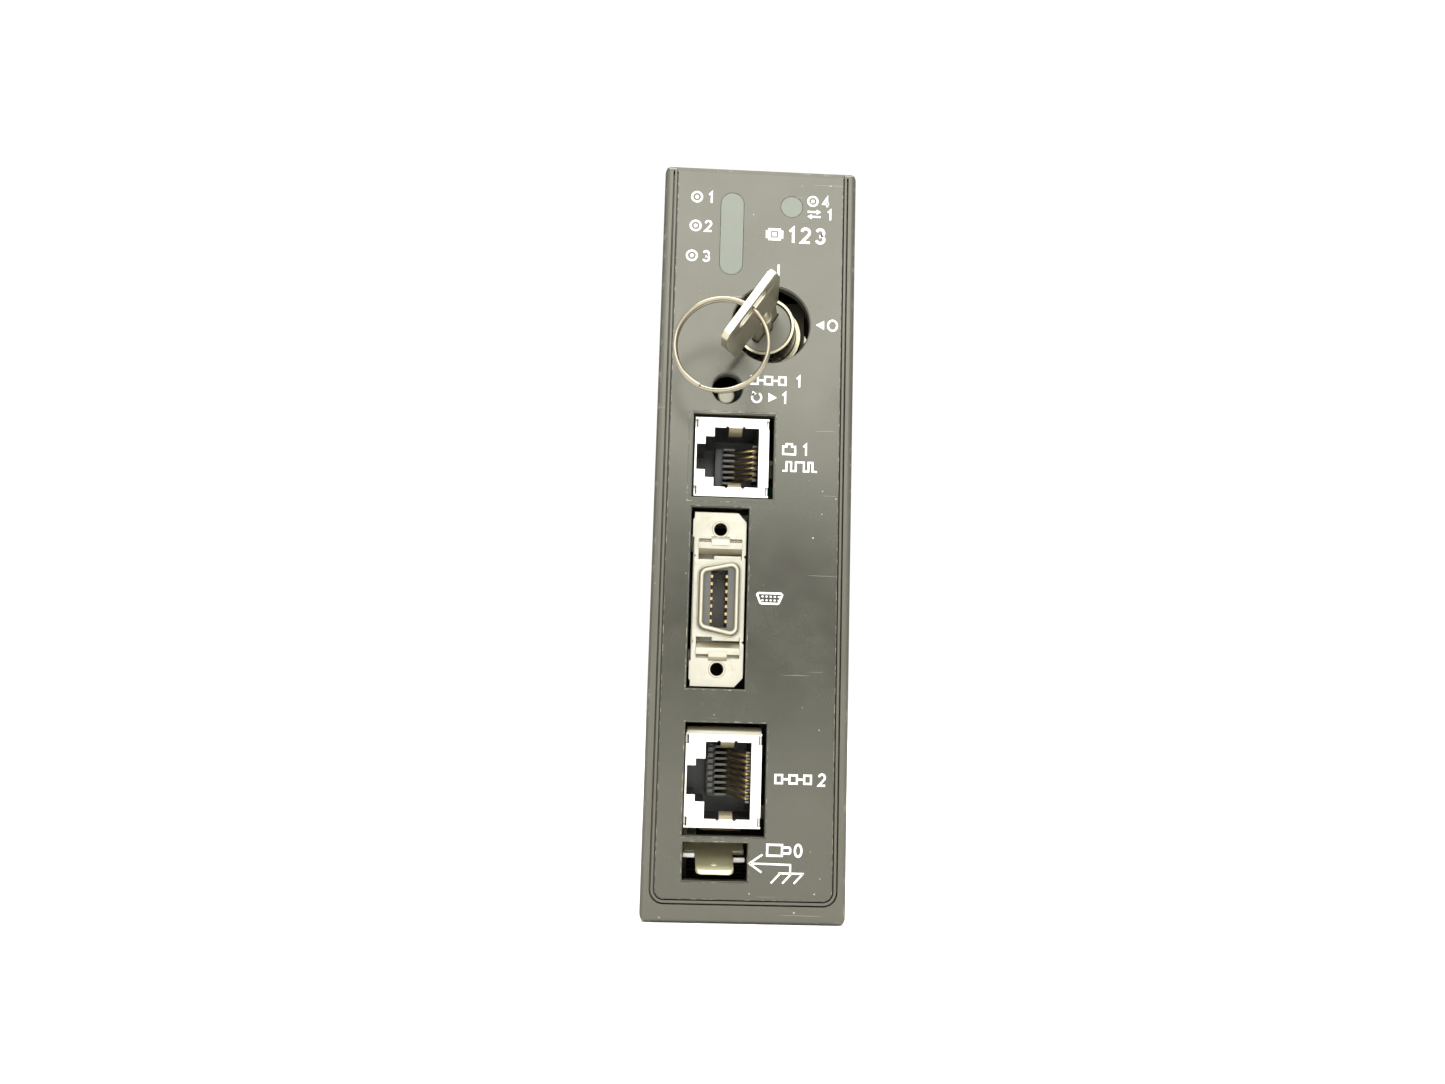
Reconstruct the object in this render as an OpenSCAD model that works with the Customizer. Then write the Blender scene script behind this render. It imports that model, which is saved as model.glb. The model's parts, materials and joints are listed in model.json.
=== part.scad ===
// Rack-mounted controller module: a narrow upright case with lamps, a key lock, a recessed button
// and four connectors on its front. It stands as it does in its rack.
// X runs across the front, Y runs from the front (-Y) to the rear seat at y = 0, Z is up.

/* [Case] */
// Width of the case
case_w = 34; // [34:1:44]
// Height of the case
case_h = 130; // [130:1:150]
// Depth of the case, from the rear seat to the front face
case_d = 130; // [130:1:150]
// Wall thickness
wall = 2; // [1.6:0.1:2.2]
// Depth of the front cover, measured from the front face
cover_d = 12; // [12:0.5:14]
// Thickness of the cover's front plate
plate_t = 2.5; // [2:0.1:2.5]
// Radius of the case's long corners
corner_r = 1.5; // [1:0.1:1.8]
// Radius of the front face's edges
edge_r = 1; // [0.6:0.1:1.2]

/* [Boards] */
// Thickness of the circuit boards
board_t = 1.6; // [1.2:0.1:1.6]
// Distance between the two boards
board_gap = 19.8; // [19:0.1:19.8]
// Vent slot width
vent_w = 2.2; // [1.6:0.1:2.6]

/* [Key lock] */
// Radius of the lock barrel
barrel_r = 5.2; // [5:0.1:5.3]
// Radius of the turning plug
plug_r = 4; // [3.6:0.1:4]
// Running clearance of the turning and sliding parts
run_gap = 0.05; // [0.03:0.01:0.08]
// Lean of the lock towards the left
lock_tilt = 8; // [0:1:9]
// Angle of the key above the horizontal
key_angle = 55; // [0:5:90]
// Thickness of the key
key_t = 1.3; // [1:0.1:1.4]
// Height of the key's bow
bow_h = 13; // [11:0.1:14]
// Outside diameter of the key ring
ring_d = 16; // [14:0.5:18]
// Wire diameter of the key ring
ring_wire = 0.8; // [0.6:0.1:0.9]

/* [Button and lever] */
// Radius of the restart button
button_r = 1.5; // [1.2:0.1:1.9]
// Length of the restart button
button_len = 11.4; // [11:0.1:12]
// Radius of the release lever's pin
lever_pin_r = 1; // [0.8:0.1:1.2]

/* [Hidden] */
$fn = 48;

// Colours
charcoal = "#5a5850";
black_plastic = "#26262a";
nickel = "#d8d2bc";
gold = "#c9a24a";
board_green = "#2f6b45";
frosted = "#bac4b6";

// Small overrun so that cuts pass clean through a face
cut = 1;
// Gap between pieces of one body that sit in each other
fit_gap = 0.05;

// Front face
front_y = -case_d;
cover_back_y = front_y + cover_d;
// Recess that holds the printed overlay: open at the top of the face
recess_depth = 0.4;
recess_w = 29.76;
recess_bottom = -case_h / 2 + 3.65;
recess_r = 1.75;
// Overlay sheet, and the gap left round it
overlay_t = 0.25;
overlay_gap = 0.22;
overlay_front = recess_depth - overlay_t;
// Groove under that gap, and a second groove round the recess
groove_depth = 0.9;
ring_groove_w = 0.25;
ring_groove_out = 0.67;
// Front of the lenses, just below the overlay's surface
lens_front = overlay_front + 0.02;

// Inside of the case
inner_w = case_w - 2 * wall;
inner_h = case_h - 2 * wall;
rear_wall = 2.5;

// Places on the front face, from its centre: [x, z]
status_at = [-4.95, 52.9];
status_size = [4.1, 15];
port_lamp_at = [5.55, 58.3];
port_lamp_r = 1.95;
lock_hole_at = [2.35, 36.7];
lock_hole_r = 6.85;
restart_at = [-4.95, 24.95];
restart_hole_r = 2.65;
serial_at = [-3.85, 12.95];
aux_at = [-5.4, -11.6];
network_at = [-3.8, -41.95];
ground_at = [-4.8, -55];

// Windows: [centre x, centre z, width, height]
serial_window = [-3.6, 13.1, 14, 14.6];
aux_window = [-5.55, -11.35, 9.9, 30.8];
network_window = [-3.55, -41.7, 13.7, 18.6];
ground_window = [-4.85, -55.1, 10.8, 6.2];

// Main board: its component side faces right
board_x = -10.3;
board_front_y = -122;
board_back_y = -6;
board_h = 123;
second_board_x = board_x + board_gap;
second_board_z = [-58, 24];
second_board_y = [-108, -12];
standoff_places = [[-98, -50], [-98, 16], [-22, -50], [-22, 16]];
standoff_r = 2.75;
standoff_bore_r = 1.5;
screw_r = standoff_bore_r - fit_gap;
screw_reach = 5;
screw_head = [2.7, 1.8];

// Modular jacks: depth, sheet thickness, [x size, z size] of the shields
sheet = 0.3;
jack_depth = 16;
serial_shield = [12.8, 13.8];
network_shield = [12.8, 15.6];
serial_front = 0.8;
network_front = 1.1;
jack_cavity_depth = 12.5;
contact_pitch = 1.02;
contact_wire = 0.36;
// Stepped plug opening: [x from, x to, height] measured from the jack's centre
serial_steps = [[-3.05, 4.65, 10.4], [-4.6, -3.05, 7.2], [-6.1, -4.6, 4.5]];
network_steps = [[-3.05, 4.65, 12.7], [-4.65, -3.05, 7.1], [-6.1, -4.65, 4.8]];
// Spring fingers of the shields: middle, width, and radius of the reliefs beside them
finger_x = 0.6;
finger_w = 2.3;
finger_relief_r = 0.28;
// Reliefs where the shields' front sheet folds back at the corners: width, height, depth
corner_relief = [0.5, 1.5, 1.2];

// Auxiliary connector
aux_plate = [9.1, 29.7];
aux_plate_t = 0.8;
aux_front = 0.8;
aux_hole_spacing = 23.8;
aux_hole_r = 1.1;
aux_shell_w = 6.6;
aux_shell_tall = 12.7;
aux_shell_short = 10;
aux_shell_t = 0.45;
aux_lip = 1.2;
aux_corner_r = 1.2;
aux_contact_count = 7;
aux_contact_pitch = 1.27;
aux_recess = [2.9, 9.8, 6];
// Depth of the insulator's front, a little behind the shell's lip
aux_lip_back = aux_front - aux_lip + 0.5;

// Lock: rim centre and depth behind the face
lock_at = [1.35, 36.6];
lock_front = 1;
rim_inner_r = 4.6;
rim_depth = 1.1;
plug_cap_r = rim_inner_r - run_gap;
plug_cap_front = 0.4;
barrel_len = 13;
flange_z = -7.5;
bracket_t = 1;
bracket_half = 6.6;
switch_z = -13.2;
switch_len = 11;
rotor_r = 3;
rotor_len = 7;
plug_back_z = -12.8;
// Key: gap from plug to bow, sideways set of the bow, half widths at its front, shoulders and rear
bow_gap = 6;
bow_shift = -2.5;
bow_half_front = 6.6;
bow_half_max = 7.35;
bow_half_rear = 6;
bow_shoulder = 4.4;
shank_r = 1.2;
blade = [6, 1.1, 10.5];
key_slot = [7.2, 2.2];
key_slot_back = 2.2;
slot_z = bow_gap - plug_cap_front + bow_h - key_slot_back;
ring_r = (ring_d - ring_wire) / 2;
ring_turn_pitch = 0.85;

// Restart button
restart_depth = 5.1;
button_collar = [2.3, 1];
switch_body = [6.2, 6.2, 7.5];
switch_body_depth = 12.2;

// Release lever: pivot place and outline, along Y and Z
lever_pivot = [-56, -61.6];
lever_w = 12;
lever_bay = [14.4, 62, 8.5];
lever_bottom = -case_h / 2 + 0.4;
latch_reach = 5;

// A place on the front face: local x runs across, y up, z straight out of the face
module front(x, z, depth = 0) {
    translate([x, front_y + depth, z]) rotate([90, 0, 0]) children();
}

// Rectangle with round corners, centred
module rounded(w, h, r) {
    square([w - 2 * r, h], center = true);
    square([w, h - 2 * r], center = true);
    for (sx = [-1, 1], sy = [-1, 1]) translate([sx * (w / 2 - r), sy * (h / 2 - r)]) circle(r = r);
}

// Box given by its low and high corners
module span(low, high) {
    translate(low) cube(high - low);
}

// Cylinder along X, starting at its left end
module rod_x(r, h) {
    rotate([0, 90, 0]) cylinder(r = r, h = h);
}

// Outline of all openings in the front plate: the windows grown by g on every side, the lens holes by lens_g
module front_openings(g = 0, lens_g = 0) {
    translate(status_at)
        rounded(status_size.x + 2 * lens_g, status_size.y + 2 * lens_g, status_size.x / 2 + lens_g - 0.01);
    translate(port_lamp_at) circle(r = port_lamp_r + lens_g);
    translate(lock_hole_at) circle(r = lock_hole_r + g);
    translate(restart_at) circle(r = restart_hole_r + g);
    for (w = [serial_window, aux_window, network_window, ground_window])
        translate([w[0], w[1]]) square([w[2] + 2 * g, w[3] + 2 * g], center = true);
}

// Block with a rounded front edge on all four sides and round long corners
module cover_block() {
    intersection() {
        front(0, 0, cover_d) linear_extrude(cover_d) rounded(case_w, case_h, corner_r);
        translate([0, 0, -case_h / 2]) linear_extrude(case_h) edge_profile(case_w);
        rotate([0, 90, 0]) translate([0, 0, -case_w / 2]) linear_extrude(case_w) edge_profile(case_h);
    }
}

// Section of the cover in depth, with both front corners round
module edge_profile(w) {
    translate([-w / 2, front_y + edge_r]) square([w, cover_d - edge_r]);
    translate([-w / 2 + edge_r, front_y]) square([w - 2 * edge_r, cover_d]);
    for (s = [-1, 1]) translate([s * (w / 2 - edge_r), front_y + edge_r]) circle(r = edge_r);
}

// Round-cornered sheet or recess on the front face, open past the top
module face_panel(w, low, top, r, depth, thickness) {
    front(0, 0, depth + thickness) linear_extrude(thickness)
        union() {
            translate([-w / 2, low + r]) square([w, top - low - r]);
            translate([-w / 2 + r, low]) square([w - 2 * r, top - low]);
            for (s = [-1, 1]) translate([s * (w / 2 - r), low + r]) circle(r = r);
        }
}

// Groove along the sides and the foot of the recess, its outer edge grown out; it ends below the top edge
module edge_groove(grown, width) {
    inner = grown - width;
    difference() {
        face_panel(recess_w + 2 * grown, recess_bottom - grown, case_h / 2 - edge_r, recess_r + grown,
                   0, groove_depth);
        face_panel(recess_w + 2 * inner, recess_bottom - inner, case_h, recess_r + inner,
                   -cut, groove_depth + 2 * cut);
    }
}

// Snap tab places on the sides: [side, z]
snap_places = [[-1, -45], [-1, 45], [1, -45], [1, 45]];
snap_size = [1.4, 3, 9];
snap_y = cover_back_y + 3;

module front_cover() {
    lip_t = 1.1;
    lip_len = 6;
    lip_gap = 0.12;
    color(charcoal) difference() {
        union() {
            difference() {
                cover_block();
                span([-inner_w / 2, front_y + plate_t, -inner_h / 2],
                     [inner_w / 2, cover_back_y + cut, inner_h / 2]);
            }
            difference() {
                span([-inner_w / 2 + lip_gap, cover_back_y - 2, -inner_h / 2 + lip_gap],
                     [inner_w / 2 - lip_gap, cover_back_y + lip_len, inner_h / 2 - lip_gap]);
                span([-inner_w / 2 + lip_t, cover_back_y - 3, -inner_h / 2 + lip_t],
                     [inner_w / 2 - lip_t, cover_back_y + lip_len + cut, inner_h / 2 - lip_t]);
            }
            for (p = [-1, 1]) span([p * inner_w / 2 - 1, cover_back_y - 2, -inner_h / 2],
                                   [p * inner_w / 2 + 1, cover_back_y - 1, inner_h / 2]);
            for (p = [-1, 1]) span([-inner_w / 2, cover_back_y - 2, p * inner_h / 2 - 1],
                                   [inner_w / 2, cover_back_y - 1, p * inner_h / 2 + 1]);
            for (p = snap_places)
                translate([p[0] * (inner_w / 2 + snap_size.x / 2 - 0.3), snap_y, p[1]])
                    cube([snap_size.x, snap_size.y - 0.3, snap_size.z - 0.3], center = true);
        }
        face_panel(recess_w, recess_bottom, case_h / 2 + cut, recess_r, -cut, recess_depth + cut);
        edge_groove(0, overlay_gap);
        edge_groove(ring_groove_out, ring_groove_w);
        front(0, 0, plate_t + cut) linear_extrude(plate_t + 2 * cut) front_openings();
    }
}

module face_overlay() {
    color(charcoal) difference() {
        face_panel(recess_w - 2 * overlay_gap, recess_bottom + overlay_gap, case_h / 2 - edge_r,
                   recess_r - overlay_gap, overlay_front, overlay_t);
        front(0, 0, 2) linear_extrude(4) front_openings(0.2, 0.03);
    }
}

module status_window() {
    color(frosted) front(status_at.x, status_at.y) {
        translate([0, 0, -plate_t]) linear_extrude(plate_t - lens_front)
            rounded(status_size.x - 0.1, status_size.y - 0.1, status_size.x / 2 - 0.06);
        translate([0, 0, -plate_t - 0.8]) linear_extrude(0.8) rounded(6, 17, 1.5);
    }
}

module port_window() {
    color(frosted) front(port_lamp_at.x, port_lamp_at.y) {
        translate([0, 0, -plate_t]) cylinder(r = port_lamp_r - fit_gap, h = plate_t - lens_front);
        translate([0, 0, -plate_t - 0.8]) cylinder(r = port_lamp_r + 0.9, h = 0.8);
    }
}

// Row of vent slots across the case, cut through the wall at height z
module vent_row(z, from_y, count) {
    pitch = 5;
    slot_l = 17;
    for (i = [0:count - 1])
        translate([-slot_l / 2, from_y + i * pitch, z - wall]) cube([slot_l, vent_w, 2 * wall]);
}

// Pair of ribs that hold one edge of the main board
module board_guide(side) {
    rib_t = 1.1;
    rib_reach = 3;
    for (x = [board_x - board_t - fit_gap - rib_t, board_x + fit_gap])
        span([x, -108, side < 0 ? -inner_h / 2 : inner_h / 2 - rib_reach],
             [x + rib_t, -8, side < 0 ? -inner_h / 2 + rib_reach : inner_h / 2]);
}

// Step along the top of the rear wall: depth, and the height it starts at
top_step = [1.5, 60.2];

// Hook that hangs the module on the top of its rack slot, outlined along Y and Z
module rack_hook() {
    hook_w = 12;
    hook_slot = 3.6;
    hook_y = 6;
    rotate([90, 0, 90]) translate([0, 0, -hook_w / 2]) linear_extrude(hook_w)
        polygon([[-wall, top_step.y - 4], [3, top_step.y - 4], [hook_y, top_step.y - 2], [hook_y, 64],
                 [hook_slot, 64], [hook_slot, top_step.y], [-wall, top_step.y]]);
}

label_recess = [0.3, 60, 70];
label_at = [-58, 2];

module housing_shell() {
    body_d = case_d - cover_d;
    color(charcoal) difference() {
        union() {
            difference() {
                front(0, 0, case_d) linear_extrude(body_d) rounded(case_w, case_h, corner_r);
                span([-inner_w / 2, cover_back_y - cut, -inner_h / 2],
                     [inner_w / 2, -rear_wall, inner_h / 2]);
            }
            for (s = [-1, 1]) board_guide(s);
            lever_bay_walls();
        }
        vent_row(case_h / 2, -106, 18);
        vent_row(-case_h / 2, -110, 8);
        for (p = snap_places)
            translate([p[0] * case_w / 2, snap_y, p[1]])
                cube([3 * wall, snap_size.y, snap_size.z], center = true);
        span([-10.5, -4, -20.2], [-0.5, cut, 35.2]);
        span([case_w / 2 - label_recess.x, label_at.x - label_recess.y / 2, label_at.y - label_recess.z / 2],
             [case_w, label_at.x + label_recess.y / 2, label_at.y + label_recess.z / 2]);
        lever_bay_cut();
        translate([-lever_bay.x / 2 - 3, lever_pivot.x, lever_pivot.y])
            rod_x(lever_pin_r + fit_gap, lever_bay.x + 6);
        span([-case_w, -top_step.x, top_step.y], [case_w, cut, case_h]);
    }
    color(charcoal) rack_hook();
}

// Walls round the bay that the release lever sits in
module lever_bay_walls() {
    t = 1.6;
    span([-lever_bay.x / 2 - t, -lever_bay.y - t, -case_h / 2 + 1],
         [lever_bay.x / 2 + t, -1, -case_h / 2 + lever_bay.z + t]);
}

// Space inside the lever bay, open at the bottom and the rear
module lever_bay_cut() {
    span([-lever_bay.x / 2, -lever_bay.y, -case_h / 2 - cut],
         [lever_bay.x / 2, cut, -case_h / 2 + lever_bay.z]);
}

module rating_label() {
    color("#d9d9d2")
        translate([case_w / 2 - label_recess.x, label_at.x, label_at.y]) rotate([0, 90, 0])
            linear_extrude(0.15) rounded(label_recess.z - 2, label_recess.y - 2, 1.5);
}

module main_board() {
    color(board_green) difference() {
        span([board_x - board_t, board_front_y, -board_h / 2], [board_x, board_back_y, board_h / 2]);
        for (p = standoff_places)
            translate([board_x - board_t - cut, p[0], p[1]]) rod_x(screw_r + 0.1, board_t + 2 * cut);
        translate([board_x - board_t - cut, ground_screw_at[0], ground_screw_at[1]])
            rod_x(screw_r + 0.1, board_t + 2 * cut);
    }
}

module network_board() {
    color(board_green) difference() {
        span([second_board_x, second_board_y[0], second_board_z[0]],
             [second_board_x + board_t, second_board_y[1], second_board_z[1]]);
        for (p = standoff_places)
            translate([second_board_x - cut, p[0], p[1]]) rod_x(screw_r + 0.1, board_t + 2 * cut);
    }
}

module board_standoffs() {
    color("silver") for (p = standoff_places) translate([board_x, p[0], p[1]]) difference() {
        rotate([0, 90, 0]) cylinder(r = standoff_r, h = board_gap, $fn = 6);
        translate([-cut, 0, 0]) rod_x(standoff_bore_r, board_gap + 2 * cut);
    }
}

// Pan-head screw pointing along +X, with the head's underside at x = 0
module pan_screw(reach) {
    rod_x(screw_r, reach);
    translate([-screw_head[1], 0, 0]) difference() {
        rod_x(screw_head[0], screw_head[1]);
        for (a = [0, 90]) rotate([a, 0, 0]) translate([0.3, 0, 0]) cube([1.2, 3.2, 0.5], center = true);
    }
}

module standoff_screws() {
    color("silver") for (p = standoff_places) {
        translate([board_x - board_t, p[0], p[1]]) pan_screw(board_t + screw_reach);
        translate([second_board_x + board_t, p[0], p[1]]) mirror([1, 0, 0]) pan_screw(board_t + screw_reach);
    }
}

// Place of the connector that joins the two boards: [y from, y to], [z from, z to]
link_y = [-34, -28];
link_z = [-42, -4];
link_split_x = 3;

module link_socket() {
    color(black_plastic) difference() {
        span([board_x, link_y[0], link_z[0]], [link_split_x, link_y[1], link_z[1]]);
        span([link_split_x - 6, link_y[0] + 1.2, link_z[0] + 1.2],
             [link_split_x + cut, link_y[1] - 1.2, link_z[1] - 1.2]);
    }
}

module link_header() {
    pins = 14;
    pitch = 2.54;
    mid_z = (link_z[0] + link_z[1]) / 2;
    mid_y = (link_y[0] + link_y[1]) / 2;
    color(black_plastic) {
        span([link_split_x, link_y[0], link_z[0]], [second_board_x, link_y[1], link_z[1]]);
        for (i = [0:pins - 1], s = [-1, 1])
            translate([link_split_x - 5.4, mid_y + s * pitch / 3 - 0.3,
                       mid_z + (i - (pins - 1) / 2) * pitch - 0.3])
                cube([5.8, 0.6, 0.6]);
    }
}

// Rear connector body: X, Y and Z spans, and its mating slot
rear_plug_x = [-10.3, -0.7];
rear_plug_z = [-20, 35];
rear_plug_y = [-14, 4];
rear_slot_x = [-8, -3];
rear_slot_z = [-17, 32];
rear_slot_depth = 7.5;

module backplane_connector() {
    color(black_plastic) difference() {
        span([rear_plug_x[0], rear_plug_y[0], rear_plug_z[0]],
             [rear_plug_x[1], rear_plug_y[1], rear_plug_z[1]]);
        span([rear_slot_x[0], rear_plug_y[1] - rear_slot_depth, rear_slot_z[0]],
             [rear_slot_x[1], rear_plug_y[1] + cut, rear_slot_z[1]]);
        span([rear_plug_x[0] - cut, -2.2, rear_plug_z[0] - cut],
             [rear_plug_x[0] + 0.8, rear_plug_y[1] + cut, rear_plug_z[0] + 4]);
    }
}

module backplane_contacts() {
    rows = 20;
    pitch = 2.4;
    blade_t = 0.3;
    mid_z = (rear_slot_z[0] + rear_slot_z[1]) / 2;
    color(gold) for (i = [0:rows - 1], x = [rear_slot_x[0], rear_slot_x[1] - blade_t])
        translate([x, rear_plug_y[1] - rear_slot_depth, mid_z + (i - (rows - 1) / 2) * pitch - 0.4])
            cube([blade_t, rear_slot_depth - 1.2, 0.8]);
}

// Stepped opening that takes a modular plug, grown by g
module plug_opening(steps, g = 0) {
    for (s = steps)
        translate([s[0] - g, -s[2] / 2 - g]) square([s[1] - s[0] + 2 * g, s[2] + 2 * g]);
}

// Sheet-metal can of a modular jack, in front() coordinates
module jack_shield(size, steps) {
    difference() {
        translate([-size.x / 2, -size.y / 2, -jack_depth]) cube([size.x, size.y, jack_depth]);
        translate([-size.x / 2 + sheet, -size.y / 2 + sheet, -jack_depth + sheet])
            cube([size.x - 2 * sheet, size.y - 2 * sheet, jack_depth - 2 * sheet]);
        translate([0, 0, -2 * sheet]) linear_extrude(4 * sheet) {
            plug_opening(steps);
            for (sx = [-1, 1], sy = [-1, 1])
                translate([finger_x + sx * (finger_w / 2 + finger_relief_r), sy * steps[0][2] / 2])
                    circle(r = finger_relief_r, $fn = 20);
        }
        for (sx = [-1, 1], sy = [-1, 1])
            translate([sx * (size.x - corner_relief.x), sy * (size.y - corner_relief.y - 2 * sheet), 0] / 2)
                cube([corner_relief.x + 0.01, corner_relief.y, 2 * corner_relief.z], center = true);
    }
}

// Plastic body of a modular jack with its plug cavity
module jack_body(size, steps) {
    inset = sheet + fit_gap;
    difference() {
        translate([-size.x / 2 + inset, -size.y / 2 + inset, -jack_depth + inset])
            cube([size.x - 2 * inset, size.y - 2 * inset, jack_depth - 2 * inset]);
        translate([0, 0, -jack_cavity_depth]) linear_extrude(jack_cavity_depth + cut)
            plug_opening(steps, 0.02);
    }
}

// Row of sprung contact wires that slope back into the plug cavity
module jack_contacts(count, right_x) {
    length = 9.6;
    slope = 12;
    for (i = [0:count - 1])
        translate([right_x - 0.1, (i - (count - 1) / 2) * contact_pitch, -2.6])
            rotate([0, 180 + slope, 0]) translate([0, -contact_wire / 2, 0])
                cube([contact_wire, contact_wire, length]);
}

// Solder legs between a jack's shield and the board
module jack_legs(at, size) {
    gap = at.x - size.x / 2 - board_x;
    for (sy = [-1, 1], d = [3, 12])
        translate([-size.x / 2 - gap, sy * (size.y / 2 - 1) - 0.5, -d]) cube([gap, 1, 1.6]);
}

module serial_jack_shield() {
    color(nickel) front(serial_at.x, serial_at.y, serial_front) {
        jack_shield(serial_shield, serial_steps);
        jack_legs(serial_at, serial_shield);
    }
}

module serial_jack_body() {
    color(black_plastic) front(serial_at.x, serial_at.y, serial_front) jack_body(serial_shield, serial_steps);
}

module serial_jack_contacts() {
    color(gold) front(serial_at.x, serial_at.y, serial_front) jack_contacts(6, serial_steps[0][1]);
}

module network_jack_shield() {
    color(nickel) front(network_at.x, network_at.y, network_front) {
        jack_shield(network_shield, network_steps);
        jack_legs(network_at, network_shield);
    }
}

module network_jack_body() {
    color(black_plastic) front(network_at.x, network_at.y, network_front)
        jack_body(network_shield, network_steps);
}

module network_jack_contacts() {
    color(gold) front(network_at.x, network_at.y, network_front) jack_contacts(8, network_steps[0][1]);
}

// Outline of the auxiliary connector's mouth, drawn in by g: tall on the right, short on the left
module d_outline(g) {
    half_w = aux_shell_w / 2 - aux_corner_r;
    r = aux_corner_r - g;
    hull() for (s = [-1, 1]) {
        translate([-half_w, s * (aux_shell_short / 2 - aux_corner_r)]) circle(r = r, $fn = 32);
        translate([half_w, s * (aux_shell_tall / 2 - aux_corner_r)]) circle(r = r, $fn = 32);
    }
}

// Bracket outline with its two right corners cut off
module aux_plate_outline() {
    w = aux_plate.x / 2;
    h = aux_plate.y / 2;
    c = 1.6;
    polygon([[-w, -h], [w - c, -h], [w, -h + c], [w, h - c], [w - c, h], [-w, h]]);
}

module aux_bracket() {
    bar = [7.4, 1.5, 0.7];
    bar_at = 8.9;
    side_l = 8;
    foot = 3;
    foot_at = 10;
    color(nickel) front(aux_at.x, aux_at.y, aux_front) difference() {
        union() {
            translate([0, 0, -aux_plate_t]) linear_extrude(aux_plate_t) aux_plate_outline();
            for (s = [-1, 1]) translate([-bar.x / 2, s * bar_at - bar.y / 2, 0]) cube(bar);
            translate([-aux_plate.x / 2, -aux_plate.y / 2 + 1, -side_l])
                cube([aux_plate_t, aux_plate.y - 2, side_l]);
            for (s = [-1, 1]) translate([board_x - aux_at.x, s * foot_at - foot / 2, -side_l])
                cube([-aux_plate.x / 2 - board_x + aux_at.x, foot, foot]);
        }
        translate([0, 0, -2 * aux_plate_t]) linear_extrude(4 * aux_plate_t) d_outline(-fit_gap);
        for (s = [-1, 1]) translate([0, s * aux_hole_spacing / 2, -2])
            cylinder(r = aux_hole_r, h = 4);
    }
}

module aux_shell() {
    shell_l = 9;
    color(nickel) front(aux_at.x, aux_at.y, aux_front)
        translate([0, 0, aux_lip - shell_l]) linear_extrude(shell_l) difference() {
            d_outline(0);
            d_outline(aux_shell_t);
        }
}

module aux_insulator() {
    back_l = 11;
    color("#6d6f74") front(aux_at.x, aux_at.y, aux_lip_back) difference() {
        translate([0, 0, -back_l]) linear_extrude(back_l) d_outline(aux_shell_t + fit_gap);
        translate([-aux_recess.x / 2, -aux_recess.y / 2, -aux_recess.z])
            cube([aux_recess.x, aux_recess.y, aux_recess.z + cut]);
    }
}

module aux_contacts() {
    t = 0.35;
    w = 0.5;
    color(gold) front(aux_at.x, aux_at.y, aux_lip_back)
        for (i = [0:aux_contact_count - 1], s = [-1, 1])
            translate([s * (aux_recess.x / 2 - t / 2) - t / 2,
                       (i - (aux_contact_count - 1) / 2) * aux_contact_pitch - w / 2, -aux_recess.z])
                cube([t, w, aux_recess.z - 0.4]);
}

module aux_nuts() {
    nut_r = 2.6;
    nut_t = 2.4;
    color("silver") front(aux_at.x, aux_at.y, aux_front)
        for (s = [-1, 1]) translate([0, s * aux_hole_spacing / 2, -aux_plate_t - nut_t]) difference() {
            cylinder(r = nut_r, h = nut_t, $fn = 6);
            translate([0, 0, -cut]) cylinder(r = aux_hole_r, h = nut_t + 2 * cut);
        }
}

// Ground tab: blade size, slope, and the screw that holds its strap
tab_blade = [6.35, 0.8, 7.6];
tab_strap_w = 10.4;
tab_slope = 17;
// Depth and height of the blade's tip
tab_tip = [0.5, -56.9];
ground_screw_at = [-105, -54.5];

module ground_tab() {
    tip_r = 1;
    strap_l = 6;
    foot_t = 1;
    color(nickel) {
        front(ground_at.x, tab_tip[1], tab_tip[0]) rotate([tab_slope, 0, 0]) {
            translate([0, 0, -tab_blade.z]) rotate([90, 0, 0]) linear_extrude(tab_blade.y, center = true)
                union() {
                    translate([-tab_blade.x / 2, 0]) square([tab_blade.x, tab_blade.z - tip_r]);
                    translate([-tab_blade.x / 2 + tip_r, 0]) square([tab_blade.x - 2 * tip_r, tab_blade.z]);
                    for (s = [-1, 1])
                        translate([s * (tab_blade.x / 2 - tip_r), tab_blade.z - tip_r]) circle(r = tip_r);
                }
            translate([-tab_strap_w / 2, -tab_blade.y / 2, -tab_blade.z - strap_l])
                cube([tab_strap_w, tab_blade.y, strap_l]);
        }
        ground_foot(foot_t);
    }
}

// Foot of the ground strap, flat on the main board round the screw
module ground_foot(t) {
    difference() {
        span([board_x, -118, -58.5], [board_x + t, -101, -50.5]);
        translate([board_x - cut, ground_screw_at[0], ground_screw_at[1]])
            rod_x(screw_r + fit_gap, t + 2 * cut);
    }
}

module ground_screw() {
    color("silver") translate([board_x + 1, ground_screw_at[0], ground_screw_at[1]])
        mirror([1, 0, 0]) pan_screw(board_t + 1 + 1);
}

// The lock's own frame: local z runs out of the front along the lock's axis
module at_lock() {
    translate([lock_at.x, front_y + lock_front, lock_at.y]) rotate([90, 0, -lock_tilt]) children();
}

// The key's own frame: local x runs along the bow, z out of the lock
module at_key() {
    at_lock() rotate([0, 0, key_angle]) children();
}

module lock_barrel() {
    color(nickel) at_lock() difference() {
        union() {
            translate([0, 0, -barrel_len]) cylinder(r = barrel_r, h = barrel_len);
            translate([0, 0, flange_z]) cylinder(r = barrel_r + 0.9, h = 1.3);
        }
        translate([0, 0, -barrel_len - cut]) cylinder(r = plug_r + run_gap, h = barrel_len + 2 * cut);
        translate([0, 0, -rim_depth]) cylinder(r = rim_inner_r, h = rim_depth + cut);
    }
}

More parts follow.
